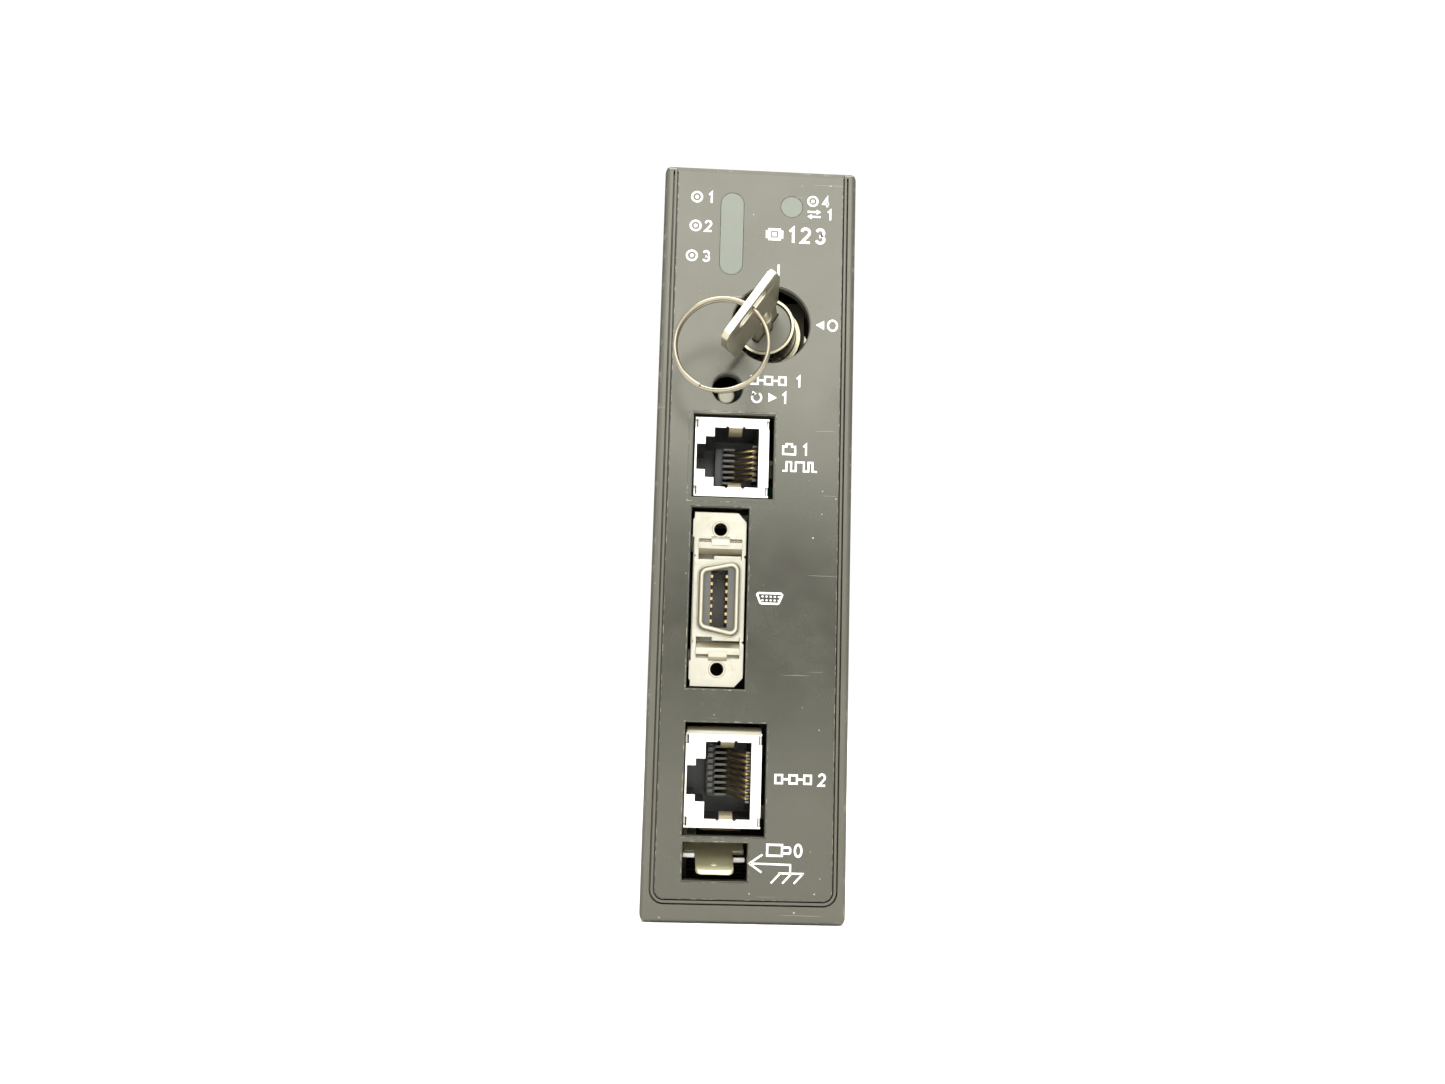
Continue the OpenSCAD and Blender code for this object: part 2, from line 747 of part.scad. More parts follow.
module lock_plug() {
    color("#b9b6aa") at_lock() rotate([0, 0, key_angle]) difference() {
        union() {
            translate([0, 0, plug_back_z]) cylinder(r = plug_r, h = -plug_back_z - rim_depth + 0.1);
            translate([0, 0, -rim_depth + 0.1])
                cylinder(r = plug_cap_r, h = rim_depth - 0.1 - plug_cap_front);
        }
        translate([-blade.x / 2 - 0.15, -blade.y / 2 - 0.1, -blade.z - 1])
            cube([blade.x + 0.3, blade.y + 0.2, blade.z + 2]);
        translate([0, 0, -3]) cylinder(r = shank_r + 0.1, h = 4);
    }
}

module lock_bracket() {
    strip_y = -121;
    strip_x = lock_at.x - bracket_half + 1.25;
    strip_back = -102;
    color("#8f8d78") difference() {
        union() {
            at_lock() translate([-bracket_half, -bracket_half, flange_z - bracket_t])
                cube([2 * bracket_half, 2 * bracket_half, bracket_t]);
            translate([0, 0, lock_at.y - bracket_half + 1]) linear_extrude(2 * bracket_half - 2) polygon([
                [board_x, strip_y], [strip_x, strip_y],
                [strip_x, strip_y + bracket_t], [board_x + bracket_t, strip_y + bracket_t],
                [board_x + bracket_t, strip_back], [board_x, strip_back]
            ]);
        }
        at_lock() translate([0, 0, flange_z - 3]) cylinder(r = barrel_r + fit_gap, h = 6);
    }
}

module lock_nut() {
    nut_t = 2.4;
    color("silver") at_lock() translate([0, 0, flange_z - bracket_t - nut_t]) difference() {
        cylinder(r = 7.2, h = nut_t, $fn = 6);
        translate([0, 0, -cut]) cylinder(r = barrel_r + fit_gap, h = nut_t + 2 * cut);
    }
}

module switch_block() {
    half = 6;
    color(black_plastic) at_lock() difference() {
        translate([-half, -half, switch_z - switch_len]) cube([2 * half, 2 * half, switch_len]);
        translate([0, 0, switch_z - rotor_len]) cylinder(r = rotor_r + run_gap, h = rotor_len + cut);
    }
}

module switch_rotor() {
    color("ivory") at_lock() rotate([0, 0, key_angle]) {
        translate([0, 0, switch_z - rotor_len + run_gap])
            cylinder(r = rotor_r, h = plug_back_z - switch_z + rotor_len - run_gap);
    }
}

module switch_terminals() {
    color(gold) at_lock() for (sx = [-1, 1], sy = [-1, 1])
        translate([sx * 3.5 - 0.4, sy * 3.5 - 0.25, switch_z - switch_len - 4]) cube([0.8, 0.5, 4]);
}

// Outline of the key's bow, with z = 0 at its rear edge
module bow_outline() {
    corner = 0.8;
    w = bow_half_front;
    polygon([
        [-bow_half_rear, 0], [bow_half_rear, 0], [bow_half_max, bow_h - bow_shoulder],
        [w + corner / 3, bow_h - corner],
        [w - corner, bow_h], [-w + corner, bow_h], [-w - corner / 3, bow_h - corner],
        [-bow_half_max, bow_h - bow_shoulder]
    ]);
}

module key() {
    bow_z = bow_gap - plug_cap_front;
    slot_r = key_slot.y / 2;
    color(nickel) at_key() {
        translate([bow_shift, key_t / 2, bow_z]) rotate([90, 0, 0]) linear_extrude(key_t) difference() {
            bow_outline();
            translate([0, bow_h - key_slot_back]) {
                square([key_slot.x - key_slot.y, key_slot.y], center = true);
                for (s = [-1, 1]) translate([s * (key_slot.x / 2 - slot_r), 0]) circle(r = slot_r);
            }
        }
        translate([0, 0, -2]) cylinder(r = shank_r, h = bow_z + 2.6);
        translate([-blade.x / 2, -blade.y / 2, -blade.z]) cube([blade.x, blade.y, blade.z + bow_z + 0.1]);
    }
}

// Split ring of two turns that lies flat in front of the face, hung in the key's slot
module key_ring() {
    color(nickel) at_key() translate([bow_shift - ring_r, 0, slot_z])
        for (s = [-0.5, 0.5]) translate([0, 0, s * ring_turn_pitch])
            rotate_extrude() translate([ring_r, 0]) circle(d = ring_wire, $fn = 24);
}

module restart_button() {
    color(frosted) front(restart_at.x, restart_at.y, restart_depth) {
        translate([0, 0, -button_len]) cylinder(r = button_r, h = button_len);
        translate([0, 0, -button_len]) cylinder(r = button_collar[0], h = button_collar[1]);
    }
}

// Depth of the button's rear end, and of the floor of the switch's chamber
button_back = restart_depth + button_len;
chamber_floor = switch_body_depth + switch_body.z - 1.2;

module restart_switch_body() {
    back = switch_body_depth + switch_body.z;
    color(black_plastic) front(restart_at.x, restart_at.y) difference() {
        translate([board_x - restart_at.x, -switch_body.y / 2, -back])
            cube([switch_body.x / 2 - board_x + restart_at.x, switch_body.y, switch_body.z]);
        translate([0, 0, -button_back]) cylinder(r = button_r + run_gap, h = button_len);
        translate([0, 0, -chamber_floor])
            cylinder(r = button_collar[0] + 0.1, h = chamber_floor - button_back + button_collar[1] + 0.1);
    }
}

// Coils on the chamber's floor, as short as they are with the button pressed
module restart_spring() {
    coil_r = 1.5;
    wire_r = 0.15;
    turns = 3;
    pitch = 0.38;
    color("silver") front(restart_at.x, restart_at.y, chamber_floor)
        for (i = [0:turns - 1]) translate([0, 0, wire_r + 0.02 + i * pitch])
            rotate_extrude() translate([coil_r, 0]) circle(r = wire_r, $fn = 16);
}

module restart_pins() {
    color(gold) front(restart_at.x, restart_at.y, switch_body_depth + switch_body.z)
        for (s = [-1, 1]) translate([-2, s * 2.2 - 0.3, -2.4]) cube([0.4, 0.6, 2.4]);
}

// Lamp body with a domed front, along front() z, tip at z = 0
module lamp(r, length) {
    translate([0, 0, -length]) cylinder(r = r, h = length - r);
    translate([0, 0, -r]) sphere(r = r);
}

status_lamps = [-5.3, 0, 5.3];
lamp_r = 1.5;
lamp_front = 4.4;
lamp_len = 6;
holder_front = 7.4;
holder_len = 6;

module status_leds() {
    color("#9fc6a0") for (z = status_lamps)
        front(status_at.x, status_at.y + z, lamp_front) lamp(lamp_r, lamp_len);
}

module port_led() {
    color("#9fc6a0") front(port_lamp_at.x, port_lamp_at.y, lamp_front) lamp(lamp_r, lamp_len);
}

module led_holder() {
    bore_r = lamp_r + fit_gap;
    color(black_plastic) difference() {
        union() {
            span([board_x, front_y + holder_front, 45], [-2, front_y + holder_front + holder_len, 61]);
            span([-2.1, front_y + holder_front, 55.5], [8.2, front_y + holder_front + holder_len, 61]);
        }
        for (z = status_lamps) front(status_at.x, status_at.y + z, lamp_front + lamp_len)
            cylinder(r = bore_r, h = lamp_len);
        front(port_lamp_at.x, port_lamp_at.y, lamp_front + lamp_len) cylinder(r = bore_r, h = lamp_len);
    }
}

// Flat chip on the main board: corner [y, z], size [y, z], height
module board_chip(at, size, height) {
    span([board_x, at.x, at.y], [board_x + height, at.x + size.x, at.y + size.y]);
}

module cpu_chip() {
    color(black_plastic) board_chip([-84, -6], [28, 28], 3.6);
}

module memory_chips() {
    color(black_plastic) for (i = [0:3]) board_chip([-84 + i * 16, 36], [10, 22], 2.6);
}

module logic_chips() {
    color(black_plastic) for (i = [0:2], j = [0:1]) board_chip([-84 + i * 17, -48 + j * 17], [12, 9], 2);
}

module network_chip() {
    color(black_plastic) span([second_board_x - 3.2, -88, -36], [second_board_x, -62, -10]);
}

module pulse_transformer() {
    color(black_plastic) span([second_board_x - 6, -104, -40], [second_board_x, -92, -14]);
}

module crystal_cans() {
    can = [4.5, 11, 3.6];
    color("silver") for (z = [0, 8]) translate([board_x, -52, z]) cube(can);
}

module capacitors() {
    color("#3b4a6a") for (i = [0:3]) translate([board_x, -98 + i * 11, 29]) rod_x(3, 8);
}

module lever_pin() {
    color("silver") translate([-lever_bay.x / 2 - 1.4, lever_pivot.x, lever_pivot.y])
        rod_x(lever_pin_r, lever_bay.x + 2.8);
}

// Sprung lever that latches the module's foot in the rack, turning on a cross pin
module release_lever() {
    pivot_boss_r = 2.4;
    finger_y = -lever_bay.y + 0.8;
    color(charcoal) difference() {
        union() {
            rotate([90, 0, 90]) translate([0, 0, -lever_w / 2]) linear_extrude(lever_w) polygon([
                [finger_y, lever_bottom], [latch_reach, lever_bottom],
                [latch_reach, lever_bottom + 1.2], [2.6, lever_bottom + 3.4], [0.6, lever_bottom + 3.4],
                [0.6, lever_bottom + 2.2], [-52, lever_bottom + 2.2], [finger_y, lever_bottom + 2.2]
            ]);
            translate([-lever_w / 2, lever_pivot.x, lever_pivot.y]) rod_x(pivot_boss_r, lever_w);
            span([-lever_w / 2, lever_pivot.x - pivot_boss_r, lever_bottom],
                 [lever_w / 2, lever_pivot.x + pivot_boss_r, lever_pivot.y]);
        }
        translate([-lever_w / 2 - cut, lever_pivot.x, lever_pivot.y])
            rod_x(lever_pin_r + run_gap, lever_w + 2 * cut);
    }
}

module lever_spring() {
    coil_r = 1.8;
    wire_r = 0.25;
    turns = 5;
    low = lever_bottom + 2.2 + wire_r + 0.02;
    high = -case_h / 2 + lever_bay.z - wire_r - 0.02;
    color("silver") for (i = [0:turns - 1])
        translate([0, -20, low + i * (high - low) / (turns - 1)])
            rotate_extrude() translate([coil_r, 0]) circle(r = wire_r, $fn = 16);
}

housing_shell();
front_cover();
face_overlay();
status_window();
port_window();
rating_label();
main_board();
network_board();
board_standoffs();
standoff_screws();
link_socket();
link_header();
backplane_connector();
backplane_contacts();
serial_jack_shield();
serial_jack_body();
serial_jack_contacts();
aux_bracket();
aux_shell();
aux_insulator();
aux_contacts();
aux_nuts();
network_jack_shield();
network_jack_body();
network_jack_contacts();
ground_tab();
ground_screw();
lock_bracket();
lock_barrel();
lock_nut();
lock_plug();
switch_block();
switch_rotor();
switch_terminals();
key();
key_ring();
restart_button();
restart_switch_body();
restart_spring();
restart_pins();
status_leds();
port_led();
led_holder();
cpu_chip();
memory_chips();
network_chip();
logic_chips();
pulse_transformer();
crystal_cans();
capacitors();
release_lever();
lever_pin();
lever_spring();
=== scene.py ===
"""Looks of the rack controller module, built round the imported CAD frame.

Lengths are in mm unless a comment says otherwise, and S turns them into metres."""
import json
import math
import random

import bmesh
import bpy
from mathutils import Matrix, Vector


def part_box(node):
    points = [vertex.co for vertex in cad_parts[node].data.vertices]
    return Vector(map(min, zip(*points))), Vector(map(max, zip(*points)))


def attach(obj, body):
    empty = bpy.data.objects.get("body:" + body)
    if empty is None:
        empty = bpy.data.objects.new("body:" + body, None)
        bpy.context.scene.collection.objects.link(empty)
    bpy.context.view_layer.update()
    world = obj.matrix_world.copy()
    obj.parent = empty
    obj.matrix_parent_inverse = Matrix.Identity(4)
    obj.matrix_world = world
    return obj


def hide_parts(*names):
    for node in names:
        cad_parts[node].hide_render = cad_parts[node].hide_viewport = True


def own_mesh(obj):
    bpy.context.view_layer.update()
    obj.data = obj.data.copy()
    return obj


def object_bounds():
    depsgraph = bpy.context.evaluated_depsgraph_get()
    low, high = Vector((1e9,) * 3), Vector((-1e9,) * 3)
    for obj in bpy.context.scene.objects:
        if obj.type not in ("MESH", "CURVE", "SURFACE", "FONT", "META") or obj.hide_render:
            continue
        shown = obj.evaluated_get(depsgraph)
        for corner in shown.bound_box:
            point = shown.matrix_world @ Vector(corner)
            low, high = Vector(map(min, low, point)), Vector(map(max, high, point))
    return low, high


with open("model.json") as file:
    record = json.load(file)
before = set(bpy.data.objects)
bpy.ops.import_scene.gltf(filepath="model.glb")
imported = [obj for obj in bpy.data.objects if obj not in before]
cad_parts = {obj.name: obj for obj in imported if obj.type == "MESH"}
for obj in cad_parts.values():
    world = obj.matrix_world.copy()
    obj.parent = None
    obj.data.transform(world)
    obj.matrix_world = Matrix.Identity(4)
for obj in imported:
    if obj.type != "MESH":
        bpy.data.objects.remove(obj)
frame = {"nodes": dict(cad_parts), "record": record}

cad_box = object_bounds()
nodes = frame["nodes"]
S = 0.001
MODULE = "module"


# -------------------- places
face_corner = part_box("front_cover")[0] / S  # lowest corner of the case's front, on the left
FRONT_Y = face_corner.y


def axes(origin, x, y, z):
    """Matrix from local mm to the frame in metres, from an origin in mm and three directions."""
    m = Matrix((x, y, z)).transposed().to_4x4()
    m.translation = Vector(origin) * S
    return m @ Matrix.Scale(S, 4)


def front(x, z, depth):
    """Local x runs across the face, y up, z straight out of it."""
    return axes((x, FRONT_Y + depth, z), (1, 0, 0), (0, 0, 1), (0, -1, 0))


def side(x, z, depth):
    """Local x runs out of the face, y up, z to the left, for profiles that run across the face."""
    return axes((x, FRONT_Y + depth, z), (0, -1, 0), (0, 0, 1), (-1, 0, 0))


LOCK = (1.35, 36.6)  # where the lock's axis meets the plane of its rim
RIM_DEPTH = 1
LOCK_TILT = math.radians(8)
KEY_ANGLE = math.radians(55)


def lock_frame(turn):
    """The lock's own frame, turned about its axis: z runs out of the front along the axis."""
    right = Vector((math.cos(LOCK_TILT), -math.sin(LOCK_TILT), 0))
    out = Vector((-math.sin(LOCK_TILT), -math.cos(LOCK_TILT), 0))
    up = Vector((0, 0, 1))
    x = right * math.cos(turn) + up * math.sin(turn)
    y = up * math.cos(turn) - right * math.sin(turn)
    return axes((LOCK[0], FRONT_Y + RIM_DEPTH, LOCK[1]), x, y, out)


# -------------------- mesh helpers
SHARP = math.radians(38)  # edges of new pieces that turn more than this aren't smoothed
EDGE_ANGLE = math.radians(32)  # edges of CAD nodes that turn more than this are rounded
FLAT_ANGLE = math.radians(0.6)
MERGE = 1e-7  # metres
WELD = 2e-6  # metres
SHEET_BEVEL = 0.03


def finish_mesh(name, mesh, material):
    """Object from a mesh in metres, smooth except across sharp edges."""
    bm = bmesh.new()
    bm.from_mesh(mesh)
    bmesh.ops.remove_doubles(bm, verts=bm.verts, dist=MERGE)
    bmesh.ops.recalc_face_normals(bm, faces=bm.faces)
    for f in bm.faces:
        f.smooth = True
    for e in bm.edges:
        e.smooth = len(e.link_faces) == 2 and e.calc_face_angle(0) < SHARP
    bm.to_mesh(mesh)
    bm.free()
    mesh.name = name
    obj = bpy.data.objects.new(name, mesh)
    bpy.context.scene.collection.objects.link(obj)
    mesh.materials.clear()
    mesh.materials.append(material)
    return obj


def from_curve(curve, place):
    """Evaluated mesh of a curve in mm, moved to its place in metres."""
    holder = bpy.data.objects.new("holder", curve)
    bpy.context.scene.collection.objects.link(holder)
    deps = bpy.context.evaluated_depsgraph_get()
    deps.update()
    mesh = bpy.data.meshes.new_from_object(holder.evaluated_get(deps))
    mesh.transform(place)
    bpy.data.objects.remove(holder)
    bpy.data.curves.remove(curve)
    return mesh


def poly_spline(curve, points, cyclic):
    """Straight-sided spline through 2D or 3D points."""
    spline = curve.splines.new("POLY")
    spline.points.add(len(points) - 1)
    for point, at in zip(spline.points, points):
        point.co = (at[0], at[1], at[2] if len(at) > 2 else 0, 1)
    spline.use_cyclic_u = cyclic


def plate_mesh(outlines, thick, place, bevel, steps):
    """Flat plate in the local XY plane, from z = 0 back to -thick; outlines after the first are holes."""
    cu = bpy.data.curves.new("plate", "CURVE")
    cu.dimensions = "2D"
    cu.fill_mode = "BOTH"
    cu.extrude = thick / 2 - bevel
    cu.bevel_depth = bevel
    cu.bevel_resolution = steps
    cu.offset = -bevel
    for outline in outlines:
        poly_spline(cu, outline, True)
    return from_curve(cu, place @ Matrix.Translation((0, 0, -thick / 2)))


def tube_mesh(points, radius, place, sides, cyclic=False):
    """Round wire along points, with so many steps in each quarter of its section."""
    cu = bpy.data.curves.new("tube", "CURVE")
    cu.dimensions = "3D"
    cu.bevel_depth = radius
    cu.bevel_resolution = sides
    cu.use_fill_caps = True
    poly_spline(cu, points, cyclic)
    return from_curve(cu, place)


def lathe_mesh(profile, place, segments, closed=True):
    """Turned piece from (radius, z) points about the local z axis."""
    verts, faces = [], []
    n = len(profile)
    for i in range(segments):
        a = 2 * math.pi * i / segments
        verts += [(r * math.cos(a), r * math.sin(a), z) for r, z in profile]
    for i in range(segments):
        j = (i + 1) % segments
        for k in range(n if closed else n - 1):
            m = (k + 1) % n
            faces.append((i * n + k, j * n + k, j * n + m, i * n + m))
    mesh = bpy.data.meshes.new("lathe")
    mesh.from_pydata([tuple(place @ Vector(v)) for v in verts], [], faces)
    return mesh


def join(name, meshes, material):
    """One object from several meshes in metres."""
    bm = bmesh.new()
    for m in meshes:
        bm.from_mesh(m)
        bpy.data.meshes.remove(m)
    mesh = bpy.data.meshes.new(name)
    bm.to_mesh(mesh)
    bm.free()
    return finish_mesh(name, mesh, material)


def circle(x, y, r, n, start=0.0, end=2 * math.pi):
    """Points on a circle, or on an arc of it with both ends."""
    full = abs(end - start - 2 * math.pi) < 1e-6
    m = n if full else n + 1
    angles = [start + (end - start) * i / n for i in range(m)]
    return [(x + r * math.cos(a), y + r * math.sin(a)) for a in angles]


def rect(x0, y0, x1, y1):
    return [(x0, y0), (x1, y0), (x1, y1), (x0, y1)]


def fillet(points, radii, n):
    """Closed outline with its corners rounded in n steps; radii is one number or one for each corner."""
    out = []
    count = len(points)
    for i, p in enumerate(points):
        r = radii[i] if isinstance(radii, (list, tuple)) else radii
        p0, p1, p2 = (Vector(points[(i + k) % count]) for k in (-1, 0, 1))
        a, b = (p0 - p1).normalized(), (p2 - p1).normalized()
        if r <= 0:
            out.append(tuple(p1))
            continue
        half = math.acos(max(-1, min(1, a.dot(b)))) / 2
        t = min(r / math.tan(half), (p0 - p1).length / 2.02, (p2 - p1).length / 2.02)
        r = t * math.tan(half)
        c = p1 + (a + b).normalized() * (r / math.sin(half))
        s, e = p1 + a * t - c, p1 + b * t - c
        a0, a1 = math.atan2(s.y, s.x), math.atan2(e.y, e.x)
        d = (a1 - a0 + math.pi) % (2 * math.pi) - math.pi
        turn = [a0 + d * k / n for k in range(n + 1)]
        out += [(c.x + r * math.cos(t), c.y + r * math.sin(t)) for t in turn]
    return out


def bent_sheet(path, thick, width, place):
    """Sheet-metal strip with the given profile (local XY), running along local z for its width."""
    pts = [Vector(p) for p in path]
    left, right = [], []
    for i, p in enumerate(pts):
        d0 = (p - pts[i - 1]).normalized() if i else None
        d1 = (pts[i + 1] - p).normalized() if i < len(pts) - 1 else None
        d = ((d0 or d1) + (d1 or d0)).normalized()
        n = Vector((-d.y, d.x))
        k = thick / 2 / max(0.5, n.dot(Vector((-(d0 or d1).y, (d0 or d1).x))))
        left.append(tuple(p + n * k))
        right.append(tuple(p - n * k))
    return plate_mesh([left + right[::-1]], width, place, SHEET_BEVEL, 1)


def strip(path, thick, width, middle, z, depth):
    """Sheet strip that runs across the face, centred on x = middle."""
    return bent_sheet(path, thick, width, side(middle - width / 2, z, depth))


def smooth_path(points, per):
    """Catmull-Rom curve through points, with so many steps between two of them."""
    pts = [Vector(p) for p in points]
    pts = [pts[0] * 2 - pts[1]] + pts + [pts[-1] * 2 - pts[-2]]
    out = []
    for i in range(1, len(pts) - 2):
        p0, p1, p2, p3 = pts[i - 1:i + 3]
        for k in range(per):
            t = k / per
            out.append(0.5 * ((2 * p1) + (p2 - p0) * t + (2 * p0 - 5 * p1 + 4 * p2 - p3) * t * t
                              + (3 * p1 - p0 - 3 * p2 + p3) * t * t * t))
    out.append(pts[-2])
    return [tuple(p) for p in out]


def soften(node, width):
    """Small round edges on a CAD node, by modifiers only."""
    modifiers = nodes[node].modifiers
    weld = modifiers.new("weld", "WELD")
    weld.merge_threshold = WELD
    flat = modifiers.new("flat", "DECIMATE")
    flat.decimate_type = "DISSOLVE"
    flat.angle_limit = FLAT_ANGLE
    edges = modifiers.new("edges", "BEVEL")
    edges.width = width * S
    edges.segments = 2
    edges.limit_method = "ANGLE"
    edges.angle_limit = EDGE_ANGLE
    edges.harden_normals = True
    normals = modifiers.new("normals", "WEIGHTED_NORMAL")
    normals.keep_sharp = True


# -------------------- materials
MIX_A, MIX_B, MIX_RESULT = 6, 7, 2  # colour sockets of a Mix node


class Mat:
    """Small helper round a node material with one Principled shader."""

    def __init__(self, name, color, roughness, metallic=0.0, **sockets):
        self.mat = bpy.data.materials.new(name)
        self.mat.use_nodes = True
        self.tree = self.mat.node_tree
        self.bsdf = self.tree.nodes["Principled BSDF"]
        self.coord = self.tree.nodes.new("ShaderNodeTexCoord").outputs["Object"]
        self.color = None
        self.rough = None
        self.normal = None
        self.bsdf.inputs["Base Color"].default_value = (*color, 1)
        self.bsdf.inputs["Roughness"].default_value = roughness
        self.bsdf.inputs["Metallic"].default_value = metallic
        for k, v in sockets.items():
            self.bsdf.inputs[k.replace("_", " ")].default_value = v
        self.mat.diffuse_color = (*color, 1)

    def add(self, kind, **inputs):
        """New node, with each input linked to a socket or set to a value."""
        node = self.tree.nodes.new("ShaderNode" + kind)
        for k, v in inputs.items():
            key = k.replace("_", " ")
            if hasattr(v, "is_output"):
                self.tree.links.new(v, node.inputs[key])
            else:
                node.inputs[key].default_value = v
        return node

    def stretched(self, scale, rotation=(0, 0, 0)):
        node = self.add("Mapping", Vector=self.coord)
        node.inputs["Scale"].default_value = scale
        node.inputs["Rotation"].default_value = rotation
        return node.outputs["Vector"]

    def noise(self, scale, detail, roughness=0.5, coord=None):
        return self.add("TexNoise", Vector=coord or self.coord, Scale=scale, Detail=detail,
                        Roughness=roughness).outputs["Fac"]

    def spots(self, scale, size):
        """1 in small round spots, 0 elsewhere."""
        away = self.add("TexVoronoi", Vector=self.coord, Scale=scale, Randomness=1.0).outputs["Distance"]
        return self.ramp(away, size * 0.6, 1, size, 0)

    def ramp(self, fac, p0, v0, p1, v1):
        """Value that goes from v0 where fac is p0 to v1 where it is p1, and stays level beyond them."""
        node = self.add("MapRange", Value=fac)
        node.inputs["From Min"].default_value = p0
        node.inputs["From Max"].default_value = p1
        node.inputs["To Min"].default_value = v0
        node.inputs["To Max"].default_value = v1
        return node.outputs["Result"]

    def calc(self, op, a, b=None):
        """Result of a Math node."""
        node = self.tree.nodes.new("ShaderNodeMath")
        node.operation = op
        for i, v in enumerate((a, b)):
            if v is None:
                continue
            if hasattr(v, "is_output"):
                self.tree.links.new(v, node.inputs[i])
            else:
                node.inputs[i].default_value = v
        return node.outputs[0]

    def tint(self, fac, color):
        """Blend the colour so far towards another where fac is 1."""
        node = self.tree.nodes.new("ShaderNodeMix")
        node.data_type = "RGBA"
        self.tree.links.new(fac, node.inputs["Factor"])
        if self.color is None:
            node.inputs[MIX_A].default_value = self.bsdf.inputs["Base Color"].default_value
        else:
            self.tree.links.new(self.color, node.inputs[MIX_A])
        node.inputs[MIX_B].default_value = (*color, 1)
        self.color = node.outputs[MIX_RESULT]
        return self

    def turned(self, full, none):
        """1 on faces turned away from the front, 0 on faces square to it.

        full and none are the normal's shares along Y where it reaches 1 and 0."""
        normal = self.tree.nodes.new("ShaderNodeTexCoord").outputs["Normal"]
        facing = self.calc("ABSOLUTE", self.add("SeparateXYZ", Vector=normal).outputs["Y"])
        return self.ramp(facing, full, 1, none, 0)

    def painted_slope_shade(self, color, full, none):
        """Painted shade: another colour on bends, sides and cut edges, where they turn away from the front.
        """
        return self.tint(self.turned(full, none), color)

    def roughen(self, fac, low, high):
        self.rough = self.ramp(fac, 0.0, low, 1.0, high)
        return self

    def bump(self, height, strength, distance):
        node = self.add("Bump", Height=height)
        node.inputs["Strength"].default_value = strength
        node.inputs["Distance"].default_value = distance * S
        if self.normal is not None:
            self.tree.links.new(self.normal, node.inputs["Normal"])
        self.normal = node.outputs["Normal"]
        return self

    def done(self):
        for socket, value in (("Base Color", self.color), ("Roughness", self.rough), ("Normal", self.normal)):
            if value is not None:
                self.tree.links.new(value, self.bsdf.inputs[socket])
        return self.mat


DUST = (0.55, 0.53, 0.45)
SCRATCH = (0.5, 0.49, 0.43)
CHARCOAL = (0.03, 0.0288, 0.021)
SHEEN = {"IOR": 1.72, "Specular_Tint": (1.0, 0.99, 0.84, 1)}
GOLD = (0.5, 0.36, 0.17)
# Wear is full from WORN_DEPTH below an outer face of the case, and fades out over WORN_FADE below that
WORN_DEPTH = 0.3
WORN_FADE = 0.4
LAMPS_Z = (58.2, 52.9, 47.6)


def scratches(m, scale, angle):
    """Fine straight scratches: a thresholded noise stretched along one direction."""
    fine = m.noise(scale, 2, 0.5, m.stretched((1, 1, 40), (0, angle, 0)))
    return m.ramp(fine, 0.735, 0, 0.755, 1)


def moulded(name, color, rough, grain, dust=True, **sockets):
    """Moulded plastic: cloudy colour, uneven gloss, fine grain, and specks of dust and scratches."""
    m = Mat(name, color, rough, **sockets)
    light = tuple(min(1, c * 1.22 + 0.004) for c in color)
    dark = tuple(c * 0.84 for c in color)
    m.tint(m.ramp(m.noise(55, 4, 0.6), 0.35, 0, 0.7, 0.6), light)
    m.tint(m.ramp(m.noise(9, 3, 0.5), 0.4, 0, 0.75, 0.5), dark)
    if dust:
        dusty = m.ramp(m.noise(60, 2), 0.5, 0, 0.62, 0.6)
        m.tint(m.calc("MULTIPLY", m.spots(420, 0.07), dusty), DUST)
        m.tint(m.calc("MULTIPLY", scratches(m, 60, 0.5), 0.18), SCRATCH)
    m.roughen(m.noise(120, 5, 0.6), rough - 0.09, rough + 0.1)
    m.bump(m.noise(3800, 3, 0.6), grain, 0.03)
    m.bump(m.noise(30, 2, 0.5), 0.05, 0.2)
    return m


def edge_wear(m, color):
    """Rubbed lighter spots along the case's outer edges, where two of its outer faces meet."""
    place = m.add("SeparateXYZ", Vector=m.coord).outputs
    near = []
    for axis, face in zip("XYZ", face_corner):
        worn = abs(face) - WORN_DEPTH
        near.append(m.ramp(m.calc("ABSOLUTE", place[axis]), (worn - WORN_FADE) * S, 0, worn * S, 1))
    pairs = [m.calc("MINIMUM", near[a], near[b]) for a, b in ((0, 1), (0, 2), (1, 2))]
    meets = m.calc("MAXIMUM", m.calc("MAXIMUM", pairs[0], pairs[1]), pairs[2])
    spots = m.ramp(m.noise(420, 4, 0.65), 0.56, 0, 0.7, 0.7)
    m.tint(m.calc("MULTIPLY", meets, spots), color)


def metal(name, color, rough, blotch=0.3, tarnish=None, grain=0.05, metallic=1.0, wavy=0.08):
    """Metal with darker blotches, spots of tarnish, uneven gloss, and fine and wavy unevenness."""
    m = Mat(name, color, rough, metallic)
    dark = tuple(c * 0.78 for c in color)
    m.tint(m.ramp(m.noise(160, 5, 0.62), 0.42, 0, 0.72, blotch), dark)
    if tarnish:
        m.tint(m.ramp(m.noise(420, 4, 0.7), 0.55, 0, 0.72, 0.8), tarnish)
    m.roughen(m.noise(330, 4, 0.6), max(0.05, rough - 0.08), rough + 0.12)
    m.bump(m.noise(2500, 2, 0.5), grain, 0.015)
    m.bump(m.noise(150, 3, 0.5), wavy, 0.05)
    return m


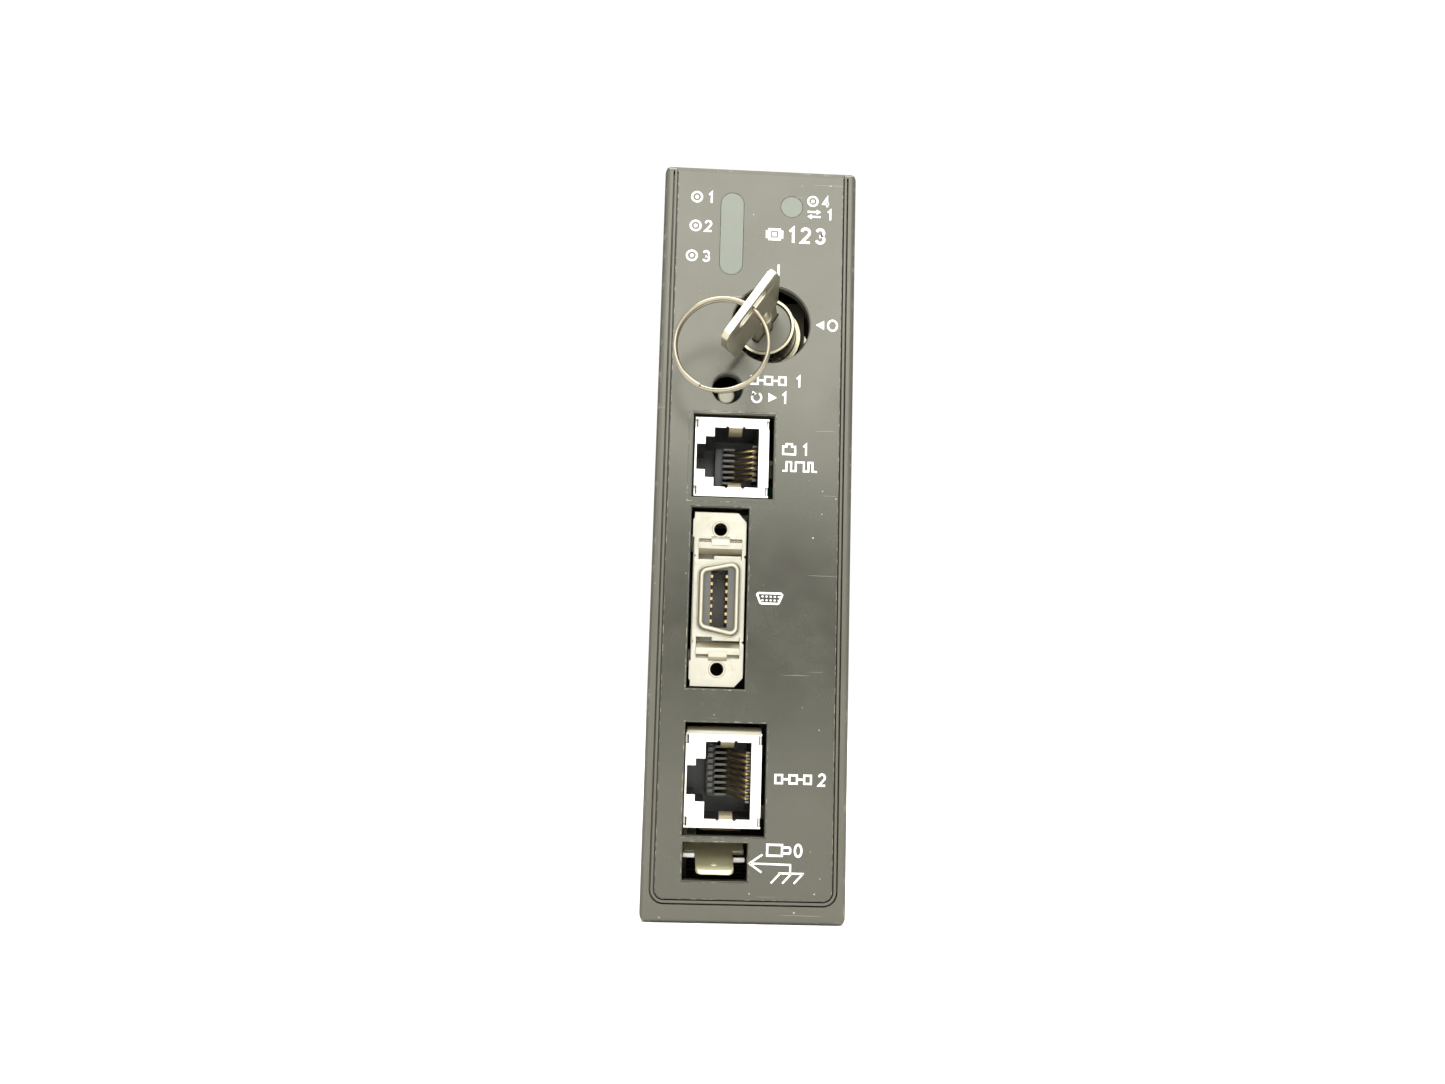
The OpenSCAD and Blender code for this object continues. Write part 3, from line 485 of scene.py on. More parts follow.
def make_case_plastic():
    """The case: rubbed along its outer edges, and with painted shade: its rounded edges and sides reflect
    less than its faces.
    """
    m = moulded("case_plastic", CHARCOAL, 0.38, 0.3, **SHEEN)
    edge_wear(m, (0.16, 0.15, 0.12))
    # painted shade: the reflection is turned down where the faces turn away from the front
    painted_shade_specular = m.ramp(m.turned(0.5, 0.97), 0, 0.5, 1, 0.14)
    m.tree.links.new(painted_shade_specular, m.bsdf.inputs["Specular IOR Level"])
    return m.done()


# Dark plastic for strokes on the overlay's cut edges; its tan specks are painted glints
def make_rim_painted_glints():
    m = moulded("rim_painted_glints", (0.03, 0.028, 0.02), 0.4, 0.3, dust=False)
    return m.tint(m.ramp(m.noise(900, 4, 0.7), 0.5, 0, 0.66, 0.9), (0.34, 0.31, 0.22)).done()


def make_frosted_lens():
    """Frosted lens, a little greener in front of each lamp."""
    m = Mat("frosted_lens", (0.14, 0.144, 0.12), 0.4, Transmission_Weight=0.08, Subsurface_Weight=0.1,
            Subsurface_Radius=(0.002, 0.002, 0.002))
    height = m.add("SeparateXYZ", Vector=m.coord).outputs["Z"]
    for lamp_z in LAMPS_Z:
        away = m.calc("ABSOLUTE", m.calc("SUBTRACT", height, lamp_z * S))
        m.tint(m.ramp(away, 0.8 * S, 0.5, 2.6 * S, 0), (0.132, 0.162, 0.12))
    m.tint(m.ramp(m.noise(300, 3), 0.5, 0, 0.8, 0.35), (0.145, 0.15, 0.12))
    return m.bump(m.noise(2200, 2), 0.12, 0.03).done()


def make_ink():
    m = Mat("mark_ink", (0.72, 0.72, 0.69), 0.5)
    m.tint(m.ramp(m.noise(900, 3), 0.52, 0, 0.72, 0.45), (0.5, 0.5, 0.47))
    return m.bump(m.noise(2500, 2), 0.1, 0.02).done()


def make_black():
    m = moulded("black_plastic", (0.009, 0.0085, 0.0075), 0.34, 0.1)
    return m.tint(m.ramp(m.noise(700, 4, 0.7), 0.56, 0, 0.7, 0.35), (0.03, 0.03, 0.027)).done()


def make_lamp_plastic():
    m = Mat("lamp_plastic", (0.33, 0.58, 0.36), 0.18, Transmission_Weight=0.5)
    return m.bump(m.noise(600, 2), 0.05, 0.05).done()


def make_laminate():
    """Green board with lighter tracks under its solder mask."""
    m = Mat("board_laminate", (0.018, 0.12, 0.045), 0.3)
    m.tint(m.ramp(m.noise(14, 3), 0.45, 0, 0.7, 0.6), (0.03, 0.17, 0.06))
    tracks = m.add("TexBrick", Vector=m.stretched((1, 1, 1), (math.radians(90), 0, 0)), Scale=260.0)
    m.tint(m.ramp(tracks.outputs["Fac"], 0, 0, 1, 0.35), (0.06, 0.26, 0.1))
    m.roughen(m.noise(400, 3), 0.22, 0.4)
    return m.bump(m.noise(1400, 3), 0.1, 0.02).done()


def make_label_film():
    m = Mat("label_film", (0.3, 0.3, 0.28), 0.35)
    m.tint(m.ramp(m.noise(40, 4), 0.45, 0, 0.7, 0.5), (0.25, 0.25, 0.23))
    m.tint(scratches(m, 70, 0.9), (0.22, 0.22, 0.2))
    return m.bump(m.noise(900, 2), 0.05, 0.02).done()


def make_floor():
    m = Mat("pale_floor", (0.93, 0.925, 0.9), 0.7)
    return m.tint(m.ramp(m.noise(3, 3), 0.4, 0, 0.8, 0.3), (0.9, 0.895, 0.86)).done()


case_plastic = make_case_plastic()
film = moulded("overlay_film", (0.015, 0.0145, 0.0105), 0.25, 0.05, **SHEEN).done()
painted_glint_plastic = make_rim_painted_glints()
ink = make_ink()
black = make_black()
grey_plastic = moulded("insulator_grey", (0.048, 0.047, 0.04), 0.42, 0.1).done()
rib_plastic = moulded("rib_plastic", (0.05, 0.05, 0.045), 0.3, 0.06, dust=False).done()
ivory = moulded("ivory_plastic", (0.66, 0.63, 0.52), 0.4, 0.08, dust=False).done()
button_plastic = moulded("button_plastic", (0.66, 0.65, 0.49), 0.32, 0.06).done()

tin = metal("tinned_shield", (0.78, 0.76, 0.69), 0.38, tarnish=(0.62, 0.58, 0.48), metallic=0.6).done()
# Satin nickel, with painted shade: a darker, browner colour on faces turned from the front
satin_nickel = metal("satin_nickel", (0.37, 0.357, 0.295), 0.46, blotch=0.4, tarnish=(0.3, 0.28, 0.2),
                     grain=0.3, metallic=0.5).painted_slope_shade((0.15, 0.13, 0.08), 0.8, 0.97).done()
# Bright nickel, with painted shade: a darker colour on its sides and bends, which turn from the front
bright_nickel = metal("bright_nickel", (0.78, 0.75, 0.64), 0.34, blotch=0.2, wavy=0.02) \
    .painted_slope_shade((0.34, 0.315, 0.23), 0.8, 0.97).done()
ring_nickel = metal("ring_nickel", (0.25, 0.224, 0.17), 0.14, tarnish=(0.25, 0.22, 0.15)).done()
# Lock nickel, with painted shade: faces turned from the front, such as the barrel's sides, are tinted much
# darker
lock_nickel = metal("lock_nickel", (0.3, 0.28, 0.2), 0.26, blotch=0.4) \
    .painted_slope_shade((0.075, 0.066, 0.042), 0.9, 0.985).done()
# Nickel of the ground tab, with painted shade: the blade and other faces turned from the front take a darker,
# yellower colour
tab_nickel = metal("tab_nickel", (0.6, 0.57, 0.42), 0.4, blotch=0.4, tarnish=(0.55, 0.51, 0.32),
                   metallic=0.5).painted_slope_shade((0.55, 0.52, 0.32), 0.4, 0.85).done()
plug_metal = metal("plug_metal", (0.12, 0.118, 0.1), 0.42, blotch=0.4).done()
zinc = metal("zinc_steel", (0.36, 0.34, 0.25), 0.38, blotch=0.6, tarnish=(0.26, 0.24, 0.16), grain=0.2).done()
dark_steel = metal("dark_steel", (0.05, 0.047, 0.036), 0.5).done()
# Near-white steel for the strap's cut ends: a painted highlight, as if they were lit straight on
painted_highlight_steel = metal("painted_highlight_steel", (0.97, 0.96, 0.92), 0.5, metallic=0.0).done()
gold = metal("gold_contact", GOLD, 0.3, blotch=0.4).done()
wire_metal = metal("contact_wire", GOLD, 0.3, blotch=0.5).done()
can_sleeve = metal("capacitor_can", (0.55, 0.56, 0.6), 0.32).done()

SLOT_MATERIALS = {
    "case_plastic": case_plastic, "overlay_film": film, "frosted_lens": make_frosted_lens(),
    "label_film": make_label_film(), "board_laminate": make_laminate(), "black_plastic": black,
    "gold_contact": gold, "tinned_shield": tin, "satin_nickel": satin_nickel, "insulator_grey": grey_plastic,
    "zinc_steel": zinc, "bright_nickel": bright_nickel, "plug_metal": plug_metal, "ivory_plastic": ivory,
    "button_plastic": button_plastic, "lamp_plastic": make_lamp_plastic(), "capacitor_can": can_sleeve,
}
# Nodes with a finish of their own; the lock_nickel on the lock's barrel and nut has painted shade on their
# sides
NODE_MATERIALS = {"lock_barrel": lock_nickel, "lock_nut": lock_nickel, "lock_bracket": dark_steel}
for part in frame["record"]["subparts"]:
    materials = nodes[part["node"]].data.materials
    materials.clear()
    materials.append(NODE_MATERIALS.get(part["node"], SLOT_MATERIALS[part["material_slot"]]))


# -------------------- pieces
def add_piece(name, meshes, material, body, replaces=()):
    """Join meshes in metres into one named piece that rides on a body."""
    obj = join(name, meshes, material)
    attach(obj, body)
    if replaces:
        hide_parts(*replaces)
    return obj


# Width of the small round edges on the CAD nodes that stay
EDGE_WIDTHS = {
    "front_cover": 0.14, "housing_shell": 0.3, "release_lever": 0.3, "restart_button": 0.35,
    "lock_barrel": 0.12, "lock_plug": 0.1, "lock_nut": 0.25, "lock_bracket": 0.15, "switch_block": 0.3,
    "serial_jack_body": 0.1, "network_jack_body": 0.1,
    "serial_jack_shield": 0.12, "network_jack_shield": 0.12, "aux_nuts": 0.2,
    "board_standoffs": 0.2, "standoff_screws": 0.15, "ground_screw": 0.15,
    "cpu_chip": 0.2, "memory_chips": 0.2, "logic_chips": 0.2, "network_chip": 0.2,
    "pulse_transformer": 0.4, "crystal_cans": 0.5, "capacitors": 0.3, "led_holder": 0.3,
    "link_socket": 0.2, "backplane_connector": 0.25,
}
for node, width in EDGE_WIDTHS.items():
    soften(node, width)

# -------------------- printed marks
OVERLAY_DEPTH = 0.15  # of the overlay's front below the cover's face
INK_T = 0.02
STROKE = 0.16  # width of a glyph's lines, as a share of its height


def arc(cx, cy, rx, ry, a0, a1, n=10):
    return [(cx + rx * math.cos(math.radians(a0 + (a1 - a0) * i / n)),
             cy + ry * math.sin(math.radians(a0 + (a1 - a0) * i / n))) for i in range(n + 1)]


def box_line(x0, y0, x1, y1):
    return [(x0, y0), (x1, y0), (x1, y1), (x0, y1), (x0, y0)]


def square_wave(x0, x1, low, high, edges):
    """Line that starts low at x0, changes level at each of the edges, and ends at x1."""
    points, level, other = [(x0, low)], low, high
    for edge in edges:
        points += [(edge, level), (edge, other)]
        level, other = other, level
    return points + [(x1, level)]


# Glyphs: width, open strokes, filled outlines; all one unit high
GLYPHS = {
    "0": (0.62, [arc(0.31, 0.5, 0.25, 0.44, 0, 360, 20)], []),
    "1": (0.4, [[(0.05, 0.72), (0.27, 0.94), (0.27, 0.02)]], []),
    "2": (0.6, [arc(0.3, 0.7, 0.24, 0.24, 170, -35, 9) + [(0.06, 0.07), (0.56, 0.07)]], []),
    "3": (0.58, [arc(0.27, 0.71, 0.22, 0.22, 160, -80, 9)
                 + arc(0.27, 0.29, 0.24, 0.23, 80, -165, 9)], []),
    "4": (0.6, [[(0.43, 0.02), (0.43, 0.94), (0.05, 0.3), (0.58, 0.3)]], []),
    "on": (0.24, [[(0.12, 0.03), (0.12, 0.97)]], []),
    "off": (0.9, [arc(0.45, 0.5, 0.38, 0.44, 0, 360, 24)], []),
    "lamp": (0.98, [arc(0.49, 0.5, 0.42, 0.42, 0, 360, 24)], [arc(0.49, 0.5, 0.16, 0.16, 0, 330, 11)]),
    "left": (0.8, [], [[(0.05, 0.5), (0.75, 0.12), (0.75, 0.88)]]),
    "right": (0.8, [], [[(0.75, 0.5), (0.05, 0.88), (0.05, 0.12)]]),
    "chip": (1.1, [box_line(0.25, 0.2, 0.85, 0.8)]
             + [[(x0, y), (x1, y)] for y in (0.33, 0.5, 0.67) for x0, x1 in ((0.02, 0.2), (0.9, 1.08))],
             [rect(0.42, 0.38, 0.68, 0.62)]),
    "swap": (1.25, [[(0.05, 0.72), (0.95, 0.72)], [(0.3, 0.28), (1.2, 0.28)]],
             [[(1.22, 0.72), (0.85, 0.95), (0.85, 0.49)], [(0.03, 0.28), (0.4, 0.51), (0.4, 0.05)]]),
    "net": (3.0, [[(0.62, 0.5), (1.18, 0.5)], [(1.82, 0.5), (2.38, 0.5)]]
            + [box_line(x0, 0.18, x1, 0.82) for x0, x1 in ((0.08, 0.62), (1.2, 1.8), (2.38, 2.92))], []),
    "reset": (1.1, [arc(0.55, 0.47, 0.38, 0.4, 120, 420, 22)], [[(0.2, 1.0), (0.12, 0.55), (0.55, 0.78)]]),
    "socket": (1.15, [[(0.08, 0.08), (0.08, 0.72), (0.35, 0.72), (0.35, 0.93), (0.8, 0.93), (0.8, 0.72),
                       (1.07, 0.72), (1.07, 0.08), (0.08, 0.08)]], []),
    "pulse": (3.1, [square_wave(0.05, 3.05, 0.1, 0.88, (0.4, 0.8, 1.2, 1.9, 2.3, 2.65))], []),
    "plug": (2.2, [[(0.2, 0.92), (2.0, 0.92), (2.12, 0.8), (1.85, 0.14), (1.75, 0.08), (0.45, 0.08),
                    (0.35, 0.14), (0.08, 0.8), (0.2, 0.92)]],
             [rect(0.45 + i * 0.33, y, 0.6 + i * 0.33, y + 0.13) for i in range(5) for y in (0.28, 0.58)]),
    "tab": (1.9, [box_line(0.08, 0.1, 1.2, 0.9), [(1.2, 0.72), (1.75, 0.72), (1.82, 0.62), (1.82, 0.38),
                                                  (1.75, 0.28), (1.2, 0.28)]], []),
}


def ribbon(points, width):
    """Left and right edges of a stroke of even width, mitred at its corners, and whether it is closed."""
    pts = [Vector(p) for p in points]
    closed = (pts[0] - pts[-1]).length < 1e-6
    if closed:
        pts = pts[:-1]
    left, right = [], []
    n = len(pts)
    for i, p in enumerate(pts):
        before = pts[i - 1] if (i or closed) else None
        after = pts[(i + 1) % n] if (i < n - 1 or closed) else None
        d0 = (p - before).normalized() if before is not None else (after - p).normalized()
        d1 = (after - p).normalized() if after is not None else d0
        n0, n1 = Vector((-d0.y, d0.x)), Vector((-d1.y, d1.x))
        mitre = n0 + n1
        mitre = mitre.normalized() if mitre.length > 1e-6 else n0
        reach = width / 2 / max(0.42, mitre.dot(n0))
        left.append(p + mitre * reach)
        right.append(p - mitre * reach)
    return left, right, closed


def marks_mesh(shapes, place):
    """Thin solid marks: shapes are ("stroke", points, width) or ("fill", points, 0)."""
    verts, faces = [], []

    def slab(points, polys):
        """Solid of thickness INK_T from polygons over shared 2D points."""
        base = len(verts)
        n = len(points)
        verts.extend(tuple(place @ Vector((p[0], p[1], 0))) for p in points)
        verts.extend(tuple(place @ Vector((p[0], p[1], -INK_T))) for p in points)
        used = set()
        for poly in polys:
            faces.append([base + i for i in poly])
            faces.append([base + n + i for i in reversed(poly)])
            used.update(zip(poly, poly[1:] + poly[:1]))
        for a, b in sorted(used):
            if (b, a) not in used:
                faces.append([base + b, base + a, base + n + a, base + n + b])

    for kind, points, width in shapes:
        if kind == "fill":
            slab(points, [list(range(len(points)))])
            continue
        left, right, closed = ribbon(points, width)
        n = len(left)
        last = n if closed else n - 1
        slab(left + right, [[i, (i + 1) % n, n + (i + 1) % n, n + i] for i in range(last)])
    mesh = bpy.data.meshes.new("marks")
    mesh.from_pydata(verts, [], faces)
    return mesh


def row(glyphs, x, z, height, width):
    """Shapes of a row of glyphs with its left end at x and its middle at z, spread over a width."""
    total = sum(GLYPHS[g][0] for g in glyphs) * height
    gap = (width - total) / max(1, len(glyphs) - 1)
    shapes = []
    for g in glyphs:
        glyph_w, strokes, fills = GLYPHS[g]
        for kind, outlines, line in (("stroke", strokes, STROKE * height), ("fill", fills, 0)):
            for points in outlines:
                shapes.append((kind, [(x + u * height, z + (v - 0.5) * height) for u, v in points], line))
        x += glyph_w * height + gap
    return shapes


# Rows of marks: glyphs, left end, middle, height, width
FACE_ROWS = (
    (("lamp", "1"), -12.3, 59.4, 2.1, 3.9), (("lamp", "2"), -12.4, 54.1, 2.1, 3.9),
    (("lamp", "3"), -12.9, 48.6, 2.1, 4.2), (("lamp", "4"), 8.3, 59.5, 2.0, 3.9),
    (("swap", "1"), 8.3, 57.1, 2.0, 4.4), (("chip", "1", "2", "3"), 1.0, 53.1, 2.9, 10.6),
    (("on",), 3.2, 46.6, 2.1, 0.5), (("left", "off"), 10.1, 36.9, 2.1, 4.0),
    (("net", "1"), -1.0, 26.6, 2.1, 8.8), (("reset", "right", "1"), -1.0, 23.6, 2.1, 6.4),
    (("socket", "1"), 4.8, 14.6, 2.1, 4.4), (("pulse",), 4.8, 11.6, 2.0, 6.2),
    (("plug",), 0.9, -11.3, 2.1, 4.6), (("net", "2"), 4.7, -41.4, 2.1, 8.6),
    (("tab", "0"), 3.6, -53.0, 2.2, 6.0),
)
# Ground mark: the stem and shaft of an arrow to the tab, its head, a bar and three slanted feet
GROUND_LINES = (
    [(7.66, -56.65), (7.66, -55.3), (0.95, -55.2)], [(3.0, -53.75), (0.85, -55.2), (2.9, -56.6)],
    [(5.7, -56.7), (9.95, -56.7)],
    *([(x, -56.7), (x - 1.5, -58.3)] for x in (6.0, 7.9, 9.8)),
)
GROUND_LINE_W = 0.3
# Openings in the overlay: middle x and z, width, height
WINDOWS = ((-3.85, 12.95, 14.6, 15.4), (-5.55, -11.35, 9.9, 30.8),
           (-3.55, -41.7, 13.7, 18.6), (-4.85, -55.1, 10.8, 6.2))
WINDOW_GAP = 0.2
RIM = 0.08
BORDER_X, BORDER_TOP, BORDER_BOTTOM, BORDER_R = 14.62, 62.0, -61.1, 1.5


def overlay_marks():
    """Raised strokes with painted glints where the overlay is cut, and the white marks printed on it."""
    painted_glint_strokes = []
    for x, z, w, h in WINDOWS:
        half_w, half_h = w / 2 + WINDOW_GAP, h / 2 + WINDOW_GAP
        painted_glint_strokes.append(("stroke", box_line(x - half_w, z - half_h, x + half_w, z + half_h), RIM))
    bend_x, bend_z = BORDER_X - BORDER_R, BORDER_BOTTOM + BORDER_R
    border = [(-BORDER_X, BORDER_TOP)]
    border += arc(-bend_x, bend_z, BORDER_R, BORDER_R, 180, 270)
    border += arc(bend_x, bend_z, BORDER_R, BORDER_R, 270, 360)
    border.append((BORDER_X, BORDER_TOP))
    painted_glint_strokes.append(("stroke", border, RIM))
    shapes = []
    for line in FACE_ROWS:
        shapes += row(*line)
    shapes += [("stroke", points, GROUND_LINE_W) for points in GROUND_LINES]
    place = front(0, 0, OVERLAY_DEPTH - INK_T)
    # thin raised strokes along the cut edges, carrying painted glints
    add_piece("overlay_painted_glint_strokes", [marks_mesh(painted_glint_strokes, place)], painted_glint_plastic, MODULE)
    add_piece("face_marks", [marks_mesh(shapes, place)], ink, MODULE)


LABEL_MARGIN = 2.5
LABEL_DIGITS = 3.2  # height of the digits


def label_marks():
    """Generic frame, rules, digits, pictograms and bars on the side label."""
    low, high = ([c / S for c in corner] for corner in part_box("rating_label"))
    half_w, half_h = ((high[i] - low[i]) / 2 - LABEL_MARGIN for i in (1, 2))
    middle = [(low[i] + high[i]) / 2 for i in (1, 2)]
    shapes = [("stroke", box_line(-half_w, -half_h, half_w, half_h), 0.5)]
    for k in (0.55, 0.25, -0.05, -0.35):
        shapes.append(("stroke", [(-half_w, half_h * k), (half_w, half_h * k)], 0.35))
    shapes.append(("stroke", [(-half_w * 0.2, half_h * 0.55), (-half_w * 0.2, -half_h * 0.35)], 0.35))
    for i, k in enumerate((0.4, 0.1, -0.2)):
        shapes += row([str(i + 1)], -half_w + 3, half_h * k, LABEL_DIGITS, 2)
        shapes += row(["1", "2", "3", "0"][i:], half_w * 0.2, half_h * k, LABEL_DIGITS, 12 - 3 * i)
    shapes += row(["socket", "net", "plug"], -half_w + 4, half_h * 0.78, 4.2, half_w * 1.5)
    at, end = -16.0, 16.0
    widths = random.Random(5)
    while at < end:
        bar = widths.choice((0.5, 0.5, 1.1))
        shapes.append(("fill", rect(at, -half_h * 0.85, at + bar, -half_h * 0.5), 0))
        at += bar + widths.choice((0.6, 0.9, 1.3))
    place = axes((high[0] + 0.01, *middle), (0, 1, 0), (0, 0, 1), (1, 0, 0))
    add_piece("label_marks", [marks_mesh(shapes, place)], black, MODULE)


overlay_marks()
label_marks()

# -------------------- modular jacks
# Middle x and z of each jack, and the depth of its shield's front below the face
SERIAL = (-3.85, 12.95, 0.8)
NETWORK = (-3.8, -41.95, 1.1)
PITCH = 1.02
SHEET_T = 0.2
WALL_X = 4.55  # inner side of the right wall, from the jack's middle
FINGER_X = 0.6  # middle of the spring fingers, from the jack's middle
FINGER = [(-0.12, 0.3), (-0.3, 0.02), (-0.8, -0.55), (-1.6, -0.9), (-2.7, -0.95)]
FLAP = [(-4.0, 0.05), (-4.7, 0.5), (-5.8, 0.95), (-7.5, 0.9), (-9.0, 0.12)]


def jack_springs(name, at, opening_half, flap_half):
    """Fingers bent in from the opening's top and bottom, and flaps that press on the window's edges."""
    x, z, depth = at
    pieces = []
    springs = [(FINGER, opening_half, 2.3, x + FINGER_X, 5)]
    if flap_half:
        springs.append((FLAP, flap_half, 7.0, x, 4))
    for profile, half, width, middle, steps in springs:
        for s in (-1, 1):
            path = [(out, s * (half + up)) for out, up in smooth_path(profile, steps)]
            pieces.append(strip(path, SHEET_T, width, middle, z, depth))
    add_piece(name + "_springs", pieces, satin_nickel, MODULE)


def jack_wires(name, at, count, wall_row, comb_row):
    """Contact wires, which bow back from the right wall to the comb."""
    wall_depth, wall_lift = wall_row
    comb_depth, comb_lift = comb_row
    run = comb_depth - wall_depth
    rows = []
    rng = random.Random(count)
    for i in range(count):
        z = (i - (count - 1) / 2) * PITCH
        jitter = rng.uniform(-0.05, 0.05)
        wall_z, comb_z, mid_z = z + wall_lift, z + comb_lift, z + (wall_lift + comb_lift) / 2
        path = smooth_path([(WALL_X, wall_z, -wall_depth), (WALL_X - 0.6, wall_z, -wall_depth - 0.1),
                            (WALL_X - 2.0, mid_z + jitter, -wall_depth - 0.3 * run),
                            (WALL_X - 3.4, comb_z + jitter, -wall_depth - 0.75 * run),
                            (WALL_X - 4.4, comb_z, -comb_depth),
                            (WALL_X - 5.4, comb_z, -comb_depth - 1.0)], 5)
        rows.append(tube_mesh(path, 0.3, front(*at), 2))
    add_piece(name + "_wires", rows, wire_metal, MODULE, [name + "_contacts"])


def jack_comb(name, at, count, wall_row, comb_row, studs):
    """Comb that parts the wires' free ends, ribs between them at both ends, and studs behind the comb."""
    x, z, depth = at
    wall_depth, wall_lift = wall_row
    comb_depth, comb_lift = comb_row
    ribs = []

    def block(outline, thick, below, bevel, steps):
        return plate_mesh([outline], thick, front(x, z, depth + below), bevel, steps)

    for i in range(count + 1):
        v = (i - count / 2) * PITCH + comb_lift
        tooth = fillet([(WALL_X - 5.8, v - 0.24), (WALL_X - 3.7, v - 0.18),
                        (WALL_X - 3.7, v + 0.18), (WALL_X - 5.8, v + 0.24)], 0.1, 2)
        ribs.append(block(tooth, 3.5, comb_depth - 1.6, 0.06, 1))
        v = (i - count / 2) * PITCH + wall_lift
        tooth = fillet(rect(WALL_X - 0.75, v - 0.16, WALL_X + 0.05, v + 0.16), 0.06, 2)
        ribs.append(block(tooth, 3.5, max(0.7, wall_depth - 1.2), 0.05, 1))
    for i in range(count if studs else 0):
        v = (i - (count - 1) / 2) * PITCH + comb_lift
        stud = fillet(rect(WALL_X - 7.0, v - 0.38, WALL_X - 6.0, v + 0.38), 0.15, 3)
        ribs.append(block(stud, 2.0, comb_depth - 0.8, 0.1, 2))
    half = (count + 1) * PITCH / 2
    spine = fillet(rect(WALL_X - 7.2, -half + comb_lift, WALL_X - 5.6, half + comb_lift), 0.2, 3)
    add_piece(name + "_comb", [block(spine, 2.0, comb_depth, 0.1, 2)], black, MODULE)
    add_piece(name + "_ribs", ribs, rib_plastic, MODULE)


def jack(name, at, count, opening_half, wall_row, comb_row, flap_half=None):
    """What shows in a jack.

    wall_row and comb_row are the wires' depth and upward shift at the right wall and at the comb."""
    jack_springs(name, at, opening_half, flap_half)
    jack_wires(name, at, count, wall_row, comb_row)
    jack_comb(name, at, count, wall_row, comb_row, studs=bool(flap_half))


jack("serial_jack", SERIAL, 6, 5.2, (4.6, -0.3), (7.8, -0.45))
jack("network_jack", NETWORK, 8, 6.35, (1.5, 0.55), (8.0, 1.2), flap_half=7.8)
# Wide bend from the network shield's front up to its top wall
bend = smooth_path([(-0.05, 7.6), (-0.12, 8.1), (-0.45, 8.5), (-1.1, 8.75)], 4)
add_piece("network_shield_bend", [strip(bend, SHEET_T, 12.5, *NETWORK)], satin_nickel, MODULE)

# -------------------- auxiliary connector
AUX = (-5.4, -11.6, 0.8)
AUX_HOLE_Z = 11.9
AUX_HOLE_R = 1.1
# Half of the bracket's outline, from its middle up; the other half mirrors it
AUX_EDGE = [(4.4, 7.0), (4.1, 7.3), (4.45, 7.6), (4.45, 13.25), (3.0, 14.85),
            (-4.5, 14.85), (-4.5, 13.8), (-4.75, 13.6), (-4.75, 10.6), (-4.45, 10.4),
            (-4.45, 7.6), (-4.1, 7.3), (-4.4, 7.0)]
# Profiles across an ear, as distance out of the face and from the bracket's middle
EAR_BAR = [(0.0, 8.5), (0.2, 8.62), (0.24, 8.75), (0.24, 9.6), (0.1, 9.75), (-0.5, 9.82)]
EAR_SLOPE = [(0.12, 8.58), (-0.45, 7.72), (-0.65, 7.6)]
EAR_TONGUE = [(-0.14, 10.75), (0.38, 10.1), (0.44, 9.95), (0.44, 9.15)]
# Stamped ring round a screw hole, as radius and height
HOLE_RING = [(AUX_HOLE_R, -0.3), (AUX_HOLE_R, 0.03), (1.16, 0.08), (1.38, 0.08), (1.46, -0.02), (1.46, -0.3)]


def aux_front(depth=0.0):
    x, z, face = AUX
    return front(x, z, face + depth)


def mouth(inset):
    """Outline of the connector's mouth drawn in by inset, tall on the right and short on the left."""
    w, tall, short = (size - inset for size in (3.3, 6.35, 5.0))
    return fillet([(w, -tall), (w, tall), (-w, short), (-w, -short)], max(0.2, 1.2 - inset * 0.6), 8)


def aux_ear(s, near):
    """Bar, slope, tongue, floors and hole ring of one ear, and the holes that it needs in the plate.

    s is 1 for the upper ear and -1 for the lower one, which is nearer to the middle by near."""
    x, z, face = AUX

    def band(path, width, middle):
        return strip([(out, s * (v - near)) for out, v in path], SHEET_T, width, x + middle, z, face)

    def patch(u0, v0, u1, v1):
        ends = sorted((s * (v0 - near), s * (v1 - near)))
        return rect(u0, ends[0], u1, ends[1])

    meshes = [
        band(EAR_BAR, 7.35, 0.04),
        band(EAR_SLOPE, 7.35, 0.04),
        plate_mesh([patch(-4.2, 9.5, 4.2, 10.4)], SHEET_T, aux_front(0.55), 0.02, 1),
        plate_mesh([patch(-4.2, 6.6, 4.2, 8.6)], SHEET_T, aux_front(2.0), 0.02, 1),
        band(EAR_TONGUE, 3.1, 0.05),
        # low step of the middle plate beside the slot
        plate_mesh([fillet(patch(-1.0, 6.7, 3.65, 7.35), 0.1, 2)], 0.5, aux_front(), 0.05, 1),
        lathe_mesh(HOLE_RING, aux_front() @ Matrix.Translation((0, s * AUX_HOLE_Z, 0)), 40),
    ]
    holes = [patch(-3.65, 6.75, 3.72, 8.55), patch(-3.6, 9.78, -1.6, 10.25), patch(1.6, 9.78, 3.72, 10.25)]
    return meshes, holes


def aux_bracket():
    """Stamped bracket: plate, ears, and the folded side with its feet on the board."""
    meshes, holes = [], [circle(0.0, s * AUX_HOLE_Z, AUX_HOLE_R, 28) for s in (-1, 1)]
    for s, near in ((-1, 0.25), (1, 0.0)):
        ear_meshes, ear_holes = aux_ear(s, near)
        meshes += ear_meshes
        holes += ear_holes
    outline = AUX_EDGE + [(u, -v) for u, v in reversed(AUX_EDGE)]
    meshes.append(plate_mesh([outline, mouth(-0.03)] + holes, 0.8, aux_front(), 0.07, 2))
    meshes.append(plate_mesh([rect(-4.55, -13.85, -3.75, 13.85)], 7.4, aux_front(0.6), 0.1, 1))
    for s in (-1, 1):
        foot = rect(-4.9, s * 10 - 1.5, -4.4, s * 10 + 1.5)
        meshes.append(plate_mesh([foot], 3.0, aux_front(5), 0.05, 1))
    add_piece("aux_bracket_look", meshes, satin_nickel, MODULE, ["aux_bracket"])


